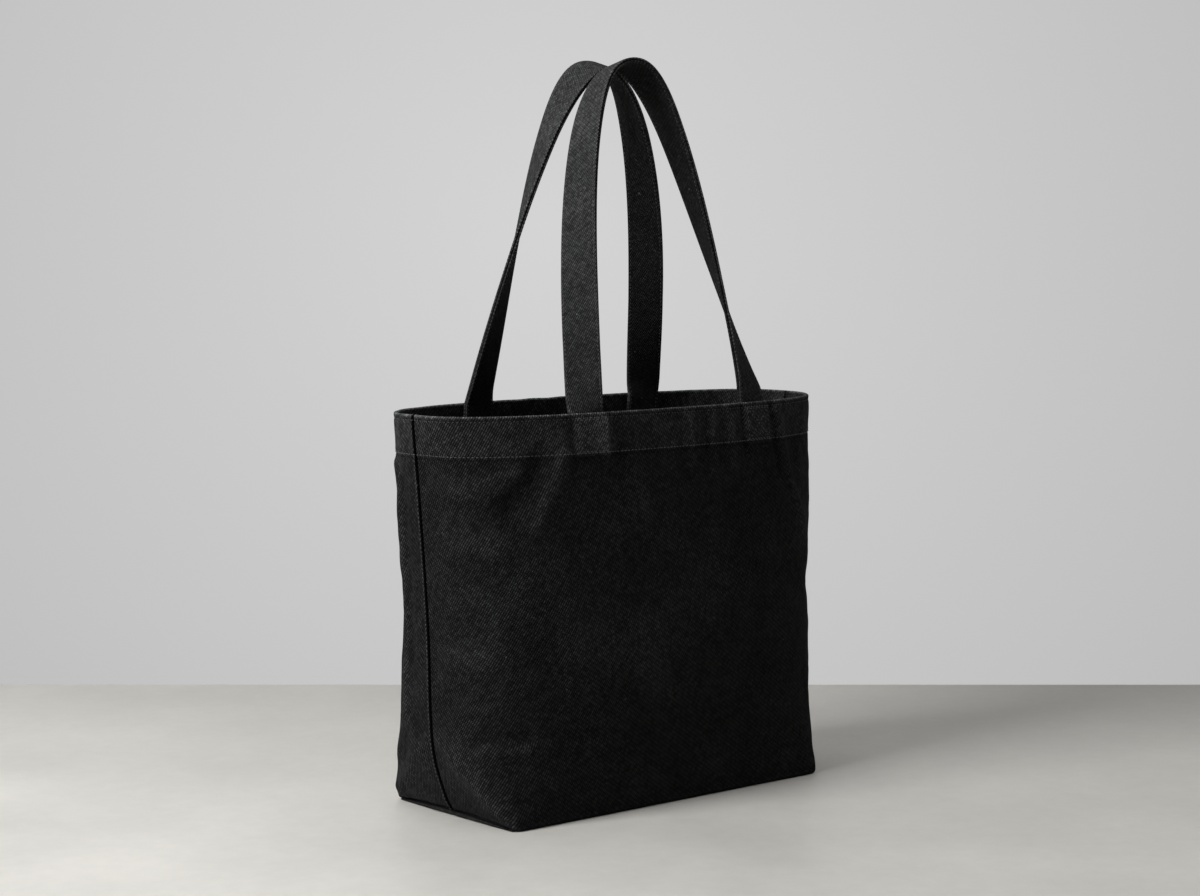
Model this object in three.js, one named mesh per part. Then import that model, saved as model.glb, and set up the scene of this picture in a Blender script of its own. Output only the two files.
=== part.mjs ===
// Canvas tote bag, standing open with both carrying straps upright.
//
// The body is sewn from two equal panels. Each one is half of the wall, from side seam to side
// seam, and folds under to make half of the base. The bottom corners are boxed, the top edge is
// turned in to a hem, and each strap is sewn to the inside of that hem.
//
// Millimetres, +Z up. The origin is the middle of the base, on the surface the bag stands on.
// +X runs along the front towards the right, and the front faces -Y.

import * as THREE from "three";

// ---- body ------------------------------------------------------------------------------------
const BODY_HEIGHT = 350;
const BASE_LENGTH = 354;
const BASE_DEPTH = 168;
const MOUTH_DEPTH = 169; // front to back across the open mouth
const CANVAS = 1.2; // one layer of the body cloth
const HEM_DEPTH = 36;
const HEM_LAYERS = 3;
const SEAM_GAP = 0.4; // between the edges of two panels that meet at a seam

// ---- straps ----------------------------------------------------------------------------------
const STRAP_WIDTH = 32;
const STRAP_THICKNESS = 3.2; // canvas folded to four layers
const STRAP_SPACING = 196; // between the middles of one strap's two feet, along the cloth
const STRAP_SHIFT = 4; // how far right of the middle the pair is sewn
const STRAP_RISE = 303; // from the rim to the middle of the strap's top
const STRAP_STUB = 8; // stands straight above the rim before the strap is free to fold
const CROWN_GAP = 7; // between the two straps where they come together
const SEWN_END = 35; // length of strap that is sewn down below the rim

// ---- thread and binding tape -----------------------------------------------------------------
const THREAD_WIDTH = 0.9;
const THREAD_HEIGHT = 0.7;
const RIM_STITCH = 4.5; // from the rim down to the row of stitches along it
const HEM_STITCH = 2; // from the hem's lower edge up to the row that holds it
const SIDE_STITCH = 3; // from the side seam to the row beside it
const STRAP_STITCH = 3; // from the strap's edge to the row along it
const BOX_MARGIN = 2; // from the strap's sides in to the square of stitches at its foot
const BOX_LINE = 1.2; // width of a line in that square
const TAPE_WIDTH = 10;
const TAPE_THICKNESS = 1.5;

const CLEARANCE = 0.3; // between pieces that lie against each other

// ---- worked out from the above ---------------------------------------------------------------
const GIRTH = 2 * (BASE_LENGTH + BASE_DEPTH);
const HALF_GIRTH = GIRTH / 2;
const HEM_THICKNESS = HEM_LAYERS * CANVAS;
const HEM_TOP = BODY_HEIGHT;
const HEM_BOTTOM = BODY_HEIGHT - HEM_DEPTH;
const HEM_ROW = HEM_BOTTOM + HEM_STITCH;
const OUTER_FACE = CANVAS / 2; // distances out from the middle of the outer layer of cloth
const INNER_FACE = -CANVAS / 2;
const HEM_INNER_FACE = OUTER_FACE - HEM_THICKNESS;
const STRAP_PLANE = HEM_INNER_FACE - CLEARANCE - STRAP_THICKNESS / 2;
const THREAD_PLANE = OUTER_FACE + CLEARANCE + THREAD_HEIGHT / 2;
const TAPE_PLANE = INNER_FACE - CLEARANCE - TAPE_THICKNESS / 2;

// How the side seam stands out, from the base (0) to the mouth (1): it leaves the base edge
// quickly, runs nearly upright, then flares. Each point is a share of the height and a share of
// the way from the base's half length to the mouth's.
const SIDE_PROFILE = [
  [0, 0],
  [0.06, 0.27],
  [0.18, 0.555],
  [0.28, 0.615],
  [0.45, 0.65],
  [0.7, 0.79],
  [1, 1],
];

// A level section is |x/a|^n + |y/b|^n = 1. The squareness n falls from a crisp oblong at the
// base to a soft oval at the mouth.
const SQUARE_AT_BASE = 24;
const SQUARE_AT_MOUTH = 2.65;
const SQUARE_GAIN = 0.09;
const SQUARE_FALL = 1.6;

// How a strap hangs. Seen from outside the bag, each leg is a Bezier curve from its foot, at 1
// across and 0 up, to the crown, at 1 up: `leaves` is the handle it sets off towards, and `flat`
// how far from the crown it is still level. `lean` is the power by which it tips in towards the
// other strap, and `twist` the power by which its width turns about the vertical, in degrees.
const CROWN_ASIDE = -0.05;
const FOOT_LEAN = 0.96; // how much of the foot's distance out is left at the top of its stub
const LEFT_LEG = { leaves: [-0.83, 0.45], flat: 0.56, lean: 1.35, footTurn: 15, crownTurn: 97, twist: 1.1 };
const RIGHT_LEG = { leaves: [0.72, 0.38], flat: 0.57, lean: 1.8, footTurn: 165, crownTurn: 76, twist: 0.7 };

const FRONT = -1;
const BACK = 1;

// ---- finishes --------------------------------------------------------------------------------
const canvasCloth = new THREE.MeshStandardMaterial({ color: 0x232325, roughness: 0.93, metalness: 0 });
const strapCloth = new THREE.MeshStandardMaterial({ color: 0x262628, roughness: 0.93, metalness: 0 });
const tapeCloth = new THREE.MeshStandardMaterial({ color: 0x1b1b1d, roughness: 0.9, metalness: 0 });
const thread = new THREE.MeshStandardMaterial({ color: 0x3a3a3d, roughness: 0.8, metalness: 0 });

const tote = new THREE.Group();

function addPiece(name, geometry, material) {
  const mesh = new THREE.Mesh(geometry, material);
  mesh.name = name;
  tote.add(mesh);
}

// ---- the shape of the wall -------------------------------------------------------------------

const SECTION_STEPS = 20;

// Quarter of a level section, from the side seam (a, 0) round to the middle of the front (0, b),
// with points packed close together round the corner.
function quarterSection(a, b, n) {
  const points = [];
  const shoulder = Math.pow(0.5, 1 / n);
  for (let i = 0; i <= SECTION_STEPS; i++) {
    const rest = 1 - i / SECTION_STEPS;
    const y = shoulder * (1 - rest * rest);
    points.push(new THREE.Vector2(a * Math.pow(1 - Math.pow(y, n), 1 / n), b * y));
  }
  for (let i = 1; i <= SECTION_STEPS; i++) {
    const gone = i / SECTION_STEPS;
    const x = shoulder * (1 - gone * gone);
    points.push(new THREE.Vector2(a * x, b * Math.pow(1 - Math.pow(x, n), 1 / n)));
  }
  return points;
}

function lengthAlong(points) {
  const lengths = [0];
  for (let i = 1; i < points.length; i++) {
    lengths.push(lengths[i - 1] + points[i].distanceTo(points[i - 1]));
  }
  return lengths;
}

// Cloth doesn't stretch, so the girth is the same at every height. This finds the value that
// gives a quarter section that length.
function solveForGirth(sectionFor) {
  let low = 1;
  let high = GIRTH / 4;
  for (let i = 0; i < 40; i++) {
    const middle = (low + high) / 2;
    const length = lengthAlong(sectionFor(middle)).at(-1);
    if (length < GIRTH / 4) low = middle;
    else high = middle;
  }
  return (low + high) / 2;
}

const mouthHalfLength = solveForGirth((a) => quarterSection(a, MOUTH_DEPTH / 2, SQUARE_AT_MOUTH));
const sideProfile = new THREE.CatmullRomCurve3(
  SIDE_PROFILE.map(([up, out]) => new THREE.Vector3(up, out, 0)),
);
const sideProfilePoints = sideProfile.getPoints(240);

function sideShare(up) {
  const after = Math.max(1, sideProfilePoints.findIndex((point) => point.x >= up));
  const low = sideProfilePoints[after - 1];
  const high = sideProfilePoints[after];
  return low.y + ((high.y - low.y) * (up - low.x)) / (high.x - low.x);
}

const sections = new Map();

function sectionAt(z) {
  if (!sections.has(z)) {
    const up = THREE.MathUtils.clamp(z / BODY_HEIGHT, 0, 1);
    const baseHalfLength = BASE_LENGTH / 2;
    const a = baseHalfLength + (mouthHalfLength - baseHalfLength) * sideShare(up);
    const n = Math.min(SQUARE_AT_BASE, SQUARE_AT_MOUTH + SQUARE_GAIN * Math.pow(up, -SQUARE_FALL));
    const b = solveForGirth((half) => quarterSection(a, half, n));
    const points = quarterSection(a, b, n);
    sections.set(z, { points, lengths: lengthAlong(points) });
  }
  return sections.get(z);
}

// A point in the middle of the cloth: `along` is the distance round the cloth from the left side
// seam, and side says which panel it is on.
function clothPoint(side, along, z) {
  const { points, lengths } = sectionAt(z);
  const pastMiddle = along > HALF_GIRTH / 2;
  const fromSeam = ((pastMiddle ? HALF_GIRTH - along : along) * lengths.at(-1)) / (GIRTH / 4);
  const first = fromSeam < 0;
  const distance = Math.abs(fromSeam);
  const after = Math.max(1, lengths.findIndex((length) => length >= distance - 1e-9));
  const share = (distance - lengths[after - 1]) / (lengths[after] - lengths[after - 1]);
  const point = points[after - 1].clone().lerp(points[after], share);
  const x = pastMiddle ? point.x : -point.x;
  const y = first ? -point.y : point.y;
  return new THREE.Vector3(x, side * y, z);
}

const PROBE = 1.5;

// The level direction straight out of the cloth at that point.
function clothOut(side, along, z) {
  const before = clothPoint(side, along - PROBE, z);
  const after = clothPoint(side, along + PROBE, z);
  return new THREE.Vector3(after.y - before.y, before.x - after.x, 0).multiplyScalar(-side).normalize();
}

// ---- making closed solids --------------------------------------------------------------------

function solidFrom(corners, triangles) {
  const geometry = new THREE.BufferGeometry();
  const positions = corners.flatMap((corner) => corner.toArray());
  geometry.setAttribute("position", new THREE.Float32BufferAttribute(positions, 3));
  geometry.setIndex(triangles.flat());
  geometry.computeVertexNormals();
  return geometry;
}

// Sweeps a closed outline: rings are lists of corners, in order along the piece. A loop joins
// the last ring to the first, and anything else gets an end face at both ends.
function sweep(rings, loop = false) {
  const count = rings[0].length;
  const corners = rings.flat();
  const triangles = [];
  const last = loop ? rings.length : rings.length - 1;
  for (let r = 0; r < last; r++) {
    const near = r * count;
    const far = ((r + 1) % rings.length) * count;
    for (let i = 0; i < count; i++) {
      const next = (i + 1) % count;
      triangles.push([near + i, near + next, far + next]);
      triangles.push([near + i, far + next, far + i]);
    }
  }
  if (!loop) {
    const end = (rings.length - 1) * count;
    for (let i = 1; i < count - 1; i++) {
      triangles.push([0, i + 1, i]);
      triangles.push([end, end + i, end + i + 1]);
    }
  }
  return solidFrom(corners, triangles);
}

// Turns a mesh of four-sided faces into cloth with a thickness. Each point holds its outer and
// inner corner; edges that only one face uses get a wall between the two.
function cloth(points, faces) {
  const corners = points.flatMap(({ outer, inner }) => [outer, inner]);
  const triangles = [];
  const sharedEdges = new Set(faces.flatMap((face) => face.map((p, i) => `${p}>${face[(i + 1) % 4]}`)));
  for (const face of faces) {
    const [a, b, c, d] = face;
    triangles.push([2 * a, 2 * b, 2 * c], [2 * a, 2 * c, 2 * d]);
    triangles.push([2 * a + 1, 2 * c + 1, 2 * b + 1], [2 * a + 1, 2 * d + 1, 2 * c + 1]);
    face.forEach((p, i) => {
      const q = face[(i + 1) % 4];
      if (sharedEdges.has(`${q}>${p}`)) return;
      triangles.push([2 * p, 2 * p + 1, 2 * q + 1], [2 * p, 2 * q + 1, 2 * q]);
    });
  }
  return solidFrom(corners, triangles);
}

// Numbers from one value to another, packed more closely towards both ends.
function spread(from, to, steps) {
  return Array.from({ length: steps + 1 }, (_, i) => {
    const share = (1 - Math.cos((Math.PI * i) / steps)) / 2;
    return from + (to - from) * share;
  });
}

function evenly(from, to, steps) {
  return Array.from({ length: steps + 1 }, (_, i) => from + ((to - from) * i) / steps);
}

// ---- panels ----------------------------------------------------------------------------------

const LEFT = -1;
const RIGHT = 1;
const GUSSET_STEPS = 7;
const SHOULDER_STEPS = 6; // between a corner of the base and the nearest strap foot
const MIDDLE_STEPS = 6; // between the two feet
const WALL_STEPS = 11;
const BASE_STEPS = 3;
const HEM_STEP = 0.6; // height over which the hem's thickness ends

// Distance round the cloth to the middle of a strap's foot.
function footAlong(end) {
  return HALF_GIRTH / 2 + STRAP_SHIFT + (end * STRAP_SPACING) / 2;
}

// Upright lines that divide a panel into faces: each strap's foot lies on one flat face.
function panelColumns() {
  const corner = BASE_DEPTH / 2;
  const gusset = evenly(SEAM_GAP / 2, corner, GUSSET_STEPS);
  const half = STRAP_WIDTH / 2;
  const leftShoulder = spread(corner, footAlong(LEFT) - half, SHOULDER_STEPS);
  const middle = evenly(footAlong(LEFT) + half, footAlong(RIGHT) - half, MIDDLE_STEPS);
  const rightShoulder = spread(footAlong(RIGHT) + half, HALF_GIRTH - corner, SHOULDER_STEPS);
  const otherGusset = gusset.map((along) => HALF_GIRTH - along).reverse();
  return [...gusset, ...leftShoulder.slice(1), ...middle, ...rightShoulder.slice(0, -1), ...otherGusset];
}

function panelRows() {
  const hem = [HEM_TOP, (HEM_TOP + HEM_BOTTOM) / 2, HEM_BOTTOM + HEM_STEP];
  const lowest = CANVAS / 2;
  const wall = Array.from({ length: WALL_STEPS + 1 }, (_, i) => {
    const share = Math.pow(1 - i / WALL_STEPS, 1.6);
    return lowest + (HEM_BOTTOM - lowest) * share;
  });
  return [...hem, ...wall];
}

const COLUMNS = panelColumns();
const ROWS = panelRows();

function gridPoint(side, column, row, distanceOut) {
  const place = clothPoint(side, COLUMNS[column], ROWS[row]);
  return place.addScaledVector(clothOut(side, COLUMNS[column], ROWS[row]), distanceOut);
}

// A point on the panel's own faces, `distanceOut` from the middle of the cloth. Past a side seam
// it goes on round the other panel.
function onPanel(side, along, z, distanceOut) {
  if (along < 0) return onPanel(-side, -along, z, distanceOut);
  if (along > HALF_GIRTH) return onPanel(-side, 2 * HALF_GIRTH - along, z, distanceOut);
  const column = THREE.MathUtils.clamp(COLUMNS.findIndex((c) => c >= along) - 1, 0, COLUMNS.length - 2);
  const right = along >= COLUMNS.at(-1) ? COLUMNS.length - 2 : column;
  const row = THREE.MathUtils.clamp(ROWS.findIndex((r) => r <= z) - 1, 0, ROWS.length - 2);
  const across = (along - COLUMNS[right]) / (COLUMNS[right + 1] - COLUMNS[right]);
  const down = (z - ROWS[row]) / (ROWS[row + 1] - ROWS[row]);
  const upper = gridPoint(side, right, row, distanceOut);
  const lower = gridPoint(side, right, row + 1, distanceOut);
  upper.lerp(gridPoint(side, right + 1, row, distanceOut), across);
  lower.lerp(gridPoint(side, right + 1, row + 1, distanceOut), across);
  return upper.lerp(lower, down);
}

function panel(side) {
  const points = [];
  const faces = [];
  const bottomRow = ROWS.length - 1;
  const firstCorner = GUSSET_STEPS;
  const lastCorner = COLUMNS.length - 1 - GUSSET_STEPS;

  ROWS.forEach((z, row) => {
    const insideOfHem = z > HEM_BOTTOM ? HEM_INNER_FACE : INNER_FACE;
    COLUMNS.forEach((along, column) => {
      const outer = gridPoint(side, column, row, OUTER_FACE);
      const inner = gridPoint(side, column, row, insideOfHem);
      if (row === bottomRow && column >= firstCorner && column <= lastCorner) {
        outer.z = 0;
        inner.z = CANVAS;
      }
      points.push({ outer, inner });
    });
  });
  for (let row = 0; row < bottomRow; row++) {
    for (let column = 0; column < COLUMNS.length - 1; column++) {
      const a = row * COLUMNS.length + column;
      faces.push([a, a + COLUMNS.length, a + COLUMNS.length + 1, a + 1]);
    }
  }

  // The base: it starts from the wall's bottom row between the two corners and runs to the seam.
  const gussetInside = BASE_LENGTH / 2 - CANVAS / 2 - SEAM_GAP;
  let previous = evenly(firstCorner, lastCorner, lastCorner - firstCorner);
  previous = previous.map((column) => bottomRow * COLUMNS.length + column);
  const edge = previous.map((index) => points[index].outer.clone().lerp(points[index].inner, 0.5));
  for (let step = 1; step <= BASE_STEPS; step++) {
    const next = edge.map((start, i) => {
      const atSide = i === 0 || i === edge.length - 1;
      const x = atSide ? Math.sign(start.x) * gussetInside : start.x;
      const y = start.y + ((side * SEAM_GAP) / 2 - start.y) * (step / BASE_STEPS);
      points.push({ outer: new THREE.Vector3(x, y, 0), inner: new THREE.Vector3(x, y, CANVAS) });
      return points.length - 1;
    });
    for (let i = 0; i < next.length - 1; i++) {
      faces.push([previous[i], next[i], next[i + 1], previous[i + 1]]);
    }
    previous = next;
  }

  const facing = side === FRONT ? faces : faces.map((face) => [...face].reverse());
  return cloth(points, facing);
}

// ---- straps ----------------------------------------------------------------------------------

const STRAP_BEVEL = 0.6;
const LOOP_STEPS = 44;
const LEG_STEPS = 6;

function footPoint(side, end) {
  return onPanel(side, footAlong(end), BODY_HEIGHT, STRAP_PLANE);
}

// One leg from its foot to the crown, as shares of half the span and of the rise.
function legLine(leg, end) {
  const curve = new THREE.CubicBezierCurve(
    new THREE.Vector2(end, 0),
    new THREE.Vector2(...leg.leaves),
    new THREE.Vector2(CROWN_ASIDE + end * leg.flat, 1),
    new THREE.Vector2(CROWN_ASIDE, 1),
  );
  return curve.getPoints(LEG_STEPS).map(({ x: across, y: up }) => ({
    across,
    up,
    outward: FOOT_LEAN * (1 - up) ** leg.lean,
    turn: THREE.MathUtils.lerp(leg.footTurn, leg.crownTurn, up ** leg.twist),
  }));
}

// The middle line of a strap from its left foot to its right one. The turns of the two legs meet
// halfway at the crown.
function strapLine() {
  const crownTurn = (LEFT_LEG.crownTurn + RIGHT_LEG.crownTurn) / 2;
  const left = legLine(LEFT_LEG, LEFT);
  const right = legLine(RIGHT_LEG, RIGHT).reverse();
  const crown = { ...right[0], turn: crownTurn };
  return [...left.slice(0, -1), crown, ...right.slice(1)];
}

// Points and turns of one strap's free loop.
function loopLine(side) {
  const left = footPoint(side, LEFT);
  const right = footPoint(side, RIGHT);
  const middleX = (left.x + right.x) / 2;
  const halfSpan = (right.x - left.x) / 2;
  const footY = Math.abs(left.y + right.y) / 2;
  const crownY = (STRAP_WIDTH + CROWN_GAP) / 2;
  const bottom = BODY_HEIGHT + STRAP_STUB;
  const line = strapLine();
  const places = line.map(({ across, outward, up }) => {
    const x = middleX + across * halfSpan;
    const y = side * (crownY + outward * (footY - crownY));
    const z = bottom + up * (STRAP_RISE - STRAP_STUB);
    return new THREE.Vector3(x, y, z);
  });
  const turns = line.map(({ turn }, i) => new THREE.Vector3(i, turn, 0));
  return {
    path: new THREE.CatmullRomCurve3(places),
    turn: new THREE.CatmullRomCurve3(turns),
  };
}

// Frames along the loop: its middle, the way its width runs and the way its outer face looks.
function loopFrames(side) {
  const { path, turn } = loopLine(side);
  return evenly(0, 1, LOOP_STEPS).map((t) => {
    const middle = path.getPoint(t);
    const tangent = path.getTangent(t);
    const angle = THREE.MathUtils.degToRad(turn.getPoint(t).y);
    const width = new THREE.Vector3(Math.cos(angle), side * Math.sin(angle), 0);
    width.addScaledVector(tangent, -width.dot(tangent)).normalize();
    const face = new THREE.Vector3().crossVectors(tangent, width).multiplyScalar(side).normalize();
    return { middle, tangent, width, face };
  });
}

// The corners of a flat outline placed across the loop, given as distances along its width and
// out of its face.
function acrossLoop({ middle, width, face }, outline) {
  return outline.map(([p, q]) => middle.clone().addScaledVector(width, p).addScaledVector(face, q));
}

// Slides corners along the strap until all are at one height, as at its straight-cut feet.
function cutLevel(corners, tangent, z) {
  return corners.map((corner) => corner.clone().addScaledVector(tangent, (z - corner.z) / tangent.z));
}

function sweepLoop(side, outline) {
  const frames = loopFrames(side);
  const foot = BODY_HEIGHT + STRAP_STUB;
  return sweep(frames.map((frame, i) => {
    const corners = acrossLoop(frame, outline);
    const atEnd = i === 0 || i === frames.length - 1;
    return atEnd ? cutLevel(corners, frame.tangent, foot) : corners;
  }));
}

// A strap's cross-section: an oblong with its corners cut off, and a corner under each row of
// stitches so that its outer face turns exactly as they do.
function strapOutline() {
  const w = STRAP_WIDTH / 2;
  const h = STRAP_THICKNESS / 2;
  const row = w - STRAP_STITCH;
  return [
    [-w, -h + STRAP_BEVEL],
    [-w + STRAP_BEVEL, -h],
    [w - STRAP_BEVEL, -h],
    [w, -h + STRAP_BEVEL],
    [w, h - STRAP_BEVEL],
    [w - STRAP_BEVEL, h],
    [row, h],
    [-row, h],
    [-w + STRAP_BEVEL, h],
    [-w, h - STRAP_BEVEL],
  ];
}

function strapLoop(side) {
  return sweepLoop(side, strapOutline().map(([p, q]) => [side * p, q]));
}

// A row of stitches along one edge of a strap's outer face. `edge` is 1 for the edge that faces
// away from the other strap at the crown and -1 for the one beside it.
function strapStitching(side, edge) {
  const row = edge * (STRAP_WIDTH / 2 - STRAP_STITCH);
  const foot = STRAP_THICKNESS / 2 + CLEARANCE;
  const halfWidth = THREAD_WIDTH / 2;
  const outline = [
    [side * (row - halfWidth), foot],
    [side * (row + halfWidth), foot],
    [side * (row + halfWidth), foot + THREAD_HEIGHT],
    [side * (row - halfWidth), foot + THREAD_HEIGHT],
  ];
  return sweepLoop(side, outline);
}

// The sewn-down end of a strap: it follows the inside of the hem, then stands up to the loop.
function strapEnd(side, end) {
  const middleAlong = footAlong(end);
  const across = [-STRAP_WIDTH / 2, STRAP_WIDTH / 2];
  const half = STRAP_THICKNESS / 2;
  const heights = evenly(BODY_HEIGHT - SEWN_END, BODY_HEIGHT, 2);
  const rings = heights.map((z) => {
    const face = (distanceOut) => across.map((p) => onPanel(side, middleAlong + p, z, distanceOut));
    return [...face(STRAP_PLANE + half), ...face(STRAP_PLANE - half).reverse()];
  });
  const frames = loopFrames(side);
  const meeting = end === LEFT ? frames[0] : frames.at(-1);
  const outline = [
    ...across.map((p) => [-end * p, half]),
    ...across.map((p) => [-end * p, -half]).reverse(),
  ];
  rings.push(cutLevel(acrossLoop(meeting, outline), meeting.tangent, BODY_HEIGHT + STRAP_STUB - CLEARANCE));
  return sweep(side === FRONT ? rings : rings.map((ring) => ring.reverse()));
}

const GAP_END = 1.6; // how far a gap stops short of the square's corners, in line widths
const GAP_TIP = 0.8; // and short of the middle, where the diagonals cross

// The square of stitches with its two diagonals that holds a strap's end, on the bag's outside.
function boxStitch(side, end) {
  const half = STRAP_WIDTH / 2 - BOX_MARGIN;
  const top = BODY_HEIGHT - RIM_STITCH - THREAD_WIDTH - CLEARANCE;
  const bottom = HEM_ROW + THREAD_WIDTH + CLEARANCE;
  const halfHeight = (top - bottom) / 2;
  const square = new THREE.Shape([
    new THREE.Vector2(-half, -halfHeight),
    new THREE.Vector2(half, -halfHeight),
    new THREE.Vector2(half, halfHeight),
    new THREE.Vector2(-half, halfHeight),
  ]);
  // The gaps between the square's sides and its two diagonals. Each is a triangle: its long edge
  // runs along one side of the square, `reach` from the middle, and is `extent` long each way.
  const gapAt = (reach, extent) => [
    [extent - GAP_END * BOX_LINE, reach - BOX_LINE],
    [-(extent - GAP_END * BOX_LINE), reach - BOX_LINE],
    [0, GAP_TIP * BOX_LINE],
  ];
  const sides = [
    gapAt(halfHeight, half),
    gapAt(halfHeight, half).map(([x, y]) => [-x, -y]),
    gapAt(half, halfHeight).map(([x, y]) => [y, -x]),
    gapAt(half, halfHeight).map(([x, y]) => [-y, x]),
  ];
  for (const corners of sides) {
    square.holes.push(new THREE.Path(corners.map(([x, y]) => new THREE.Vector2(x, y))));
  }
  const geometry = new THREE.ExtrudeGeometry(square, { depth: THREAD_HEIGHT, bevelEnabled: false });
  const position = geometry.getAttribute("position");
  const proud = OUTER_FACE + CLEARANCE;
  for (let i = 0; i < position.count; i++) {
    const along = footAlong(end) - side * position.getX(i);
    const z = (top + bottom) / 2 + position.getY(i);
    const place = onPanel(side, along, z, proud + position.getZ(i));
    position.setXYZ(i, place.x, place.y, place.z);
  }
  return geometry;
}

// ---- rows of stitches and tapes on the body --------------------------------------------------

// A strip of cloth or thread laid on the panels: rings of corners at distances along and out.
function stripRing(side, alongs, z, distanceOut, height) {
  const half = height / 2;
  const outer = alongs.map((along) => onPanel(side, along, z, distanceOut + half));
  const inner = alongs.map((along) => onPanel(side, along, z, distanceOut - half));
  return [...outer, ...inner.reverse()];
}

// A row of stitches right round the bag at one height.
function stitchingRound(z) {
  const places = [
    ...COLUMNS.map((along) => [FRONT, along]),
    ...[...COLUMNS].reverse().map((along) => [BACK, along]),
  ];
  const halfWidth = THREAD_WIDTH / 2;
  const halfHeight = THREAD_HEIGHT / 2;
  const rings = places.map(([side, along]) => [
    onPanel(side, along, z - halfWidth, THREAD_PLANE - halfHeight),
    onPanel(side, along, z + halfWidth, THREAD_PLANE - halfHeight),
    onPanel(side, along, z + halfWidth, THREAD_PLANE + halfHeight),
    onPanel(side, along, z - halfWidth, THREAD_PLANE + halfHeight),
  ]);
  return sweep(rings, true);
}

// A strip up the wall at the given distances round the cloth.
function uprightStrip(side, alongs, from, to, distanceOut, height) {
  const between = [...ROWS].reverse().filter((z) => z > from && z < to);
  const rings = [from, ...between, to].map((z) => stripRing(side, alongs, z, distanceOut, height));
  return sweep(side === FRONT ? rings : rings.map((ring) => ring.reverse()));
}

function sideStitching(end) {
  const along = end === LEFT ? SIDE_STITCH : HALF_GIRTH - SIDE_STITCH;
  const alongs = [along - THREAD_WIDTH / 2, along + THREAD_WIDTH / 2];
  const from = CANVAS + 2 * CLEARANCE;
  const to = HEM_ROW - THREAD_WIDTH - CLEARANCE;
  return uprightStrip(BACK, alongs, from, to, THREAD_PLANE, THREAD_HEIGHT);
}

const TAPE_BOTTOM = CANVAS + CLEARANCE;
const TAPE_TOP = TAPE_BOTTOM + TAPE_THICKNESS;

function sideTape(end) {
  const seam = end === LEFT ? 0 : HALF_GIRTH;
  const alongs = [seam - TAPE_WIDTH / 2, seam, seam + TAPE_WIDTH / 2];
  const from = TAPE_TOP + CLEARANCE;
  const to = HEM_BOTTOM - CLEARANCE;
  return uprightStrip(FRONT, alongs, from, to, TAPE_PLANE, TAPE_THICKNESS);
}

function block(from, to) {
  const size = new THREE.Vector3().subVectors(to, from);
  const geometry = new THREE.BoxGeometry(size.x, size.y, size.z);
  geometry.translate((from.x + to.x) / 2, (from.y + to.y) / 2, (from.z + to.z) / 2);
  return geometry;
}

const BASE_INSIDE = BASE_LENGTH / 2 - CANVAS / 2 - CLEARANCE;
const CORNER_ROOM = 12; // keeps the tape's ends out of the rounded corners of the base

function cornerTape(end) {
  const outer = end * BASE_INSIDE;
  const inner = end * (BASE_INSIDE - TAPE_WIDTH);
  const reach = BASE_DEPTH / 2 - CORNER_ROOM;
  return block(
    new THREE.Vector3(Math.min(outer, inner), -reach, TAPE_BOTTOM),
    new THREE.Vector3(Math.max(outer, inner), reach, TAPE_TOP),
  );
}

function baseTape() {
  const reach = BASE_INSIDE - TAPE_WIDTH - CLEARANCE;
  return block(
    new THREE.Vector3(-reach, -TAPE_WIDTH / 2, TAPE_BOTTOM),
    new THREE.Vector3(reach, TAPE_WIDTH / 2, TAPE_TOP),
  );
}

// ---- assembly --------------------------------------------------------------------------------

for (const [sideName, side] of [["front", FRONT], ["back", BACK]]) {
  addPiece(`${sideName}_panel`, panel(side), canvasCloth);
  addPiece(`${sideName}_strap`, strapLoop(side), strapCloth);
  addPiece(`${sideName}_strap_outer_stitching`, strapStitching(side, 1), thread);
  addPiece(`${sideName}_strap_inner_stitching`, strapStitching(side, -1), thread);
  for (const [endName, end] of [["left", LEFT], ["right", RIGHT]]) {
    addPiece(`${sideName}_${endName}_strap_end`, strapEnd(side, end), strapCloth);
    addPiece(`${sideName}_${endName}_box_stitching`, boxStitch(side, end), thread);
  }
}
for (const [endName, end] of [["left", LEFT], ["right", RIGHT]]) {
  addPiece(`${endName}_seam_stitching`, sideStitching(end), thread);
  addPiece(`${endName}_seam_binding`, sideTape(end), tapeCloth);
  addPiece(`${endName}_corner_binding`, cornerTape(end), tapeCloth);
}
addPiece("base_seam_binding", baseTape(), tapeCloth);
addPiece("hem_stitching", stitchingRound(HEM_ROW), thread);
addPiece("rim_stitching", stitchingRound(BODY_HEIGHT - RIM_STITCH), thread);

export default tote;
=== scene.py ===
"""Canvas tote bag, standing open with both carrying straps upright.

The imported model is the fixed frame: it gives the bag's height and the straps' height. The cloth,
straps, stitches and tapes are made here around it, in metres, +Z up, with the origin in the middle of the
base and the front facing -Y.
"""

import functools
import math
from collections import namedtuple

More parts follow.
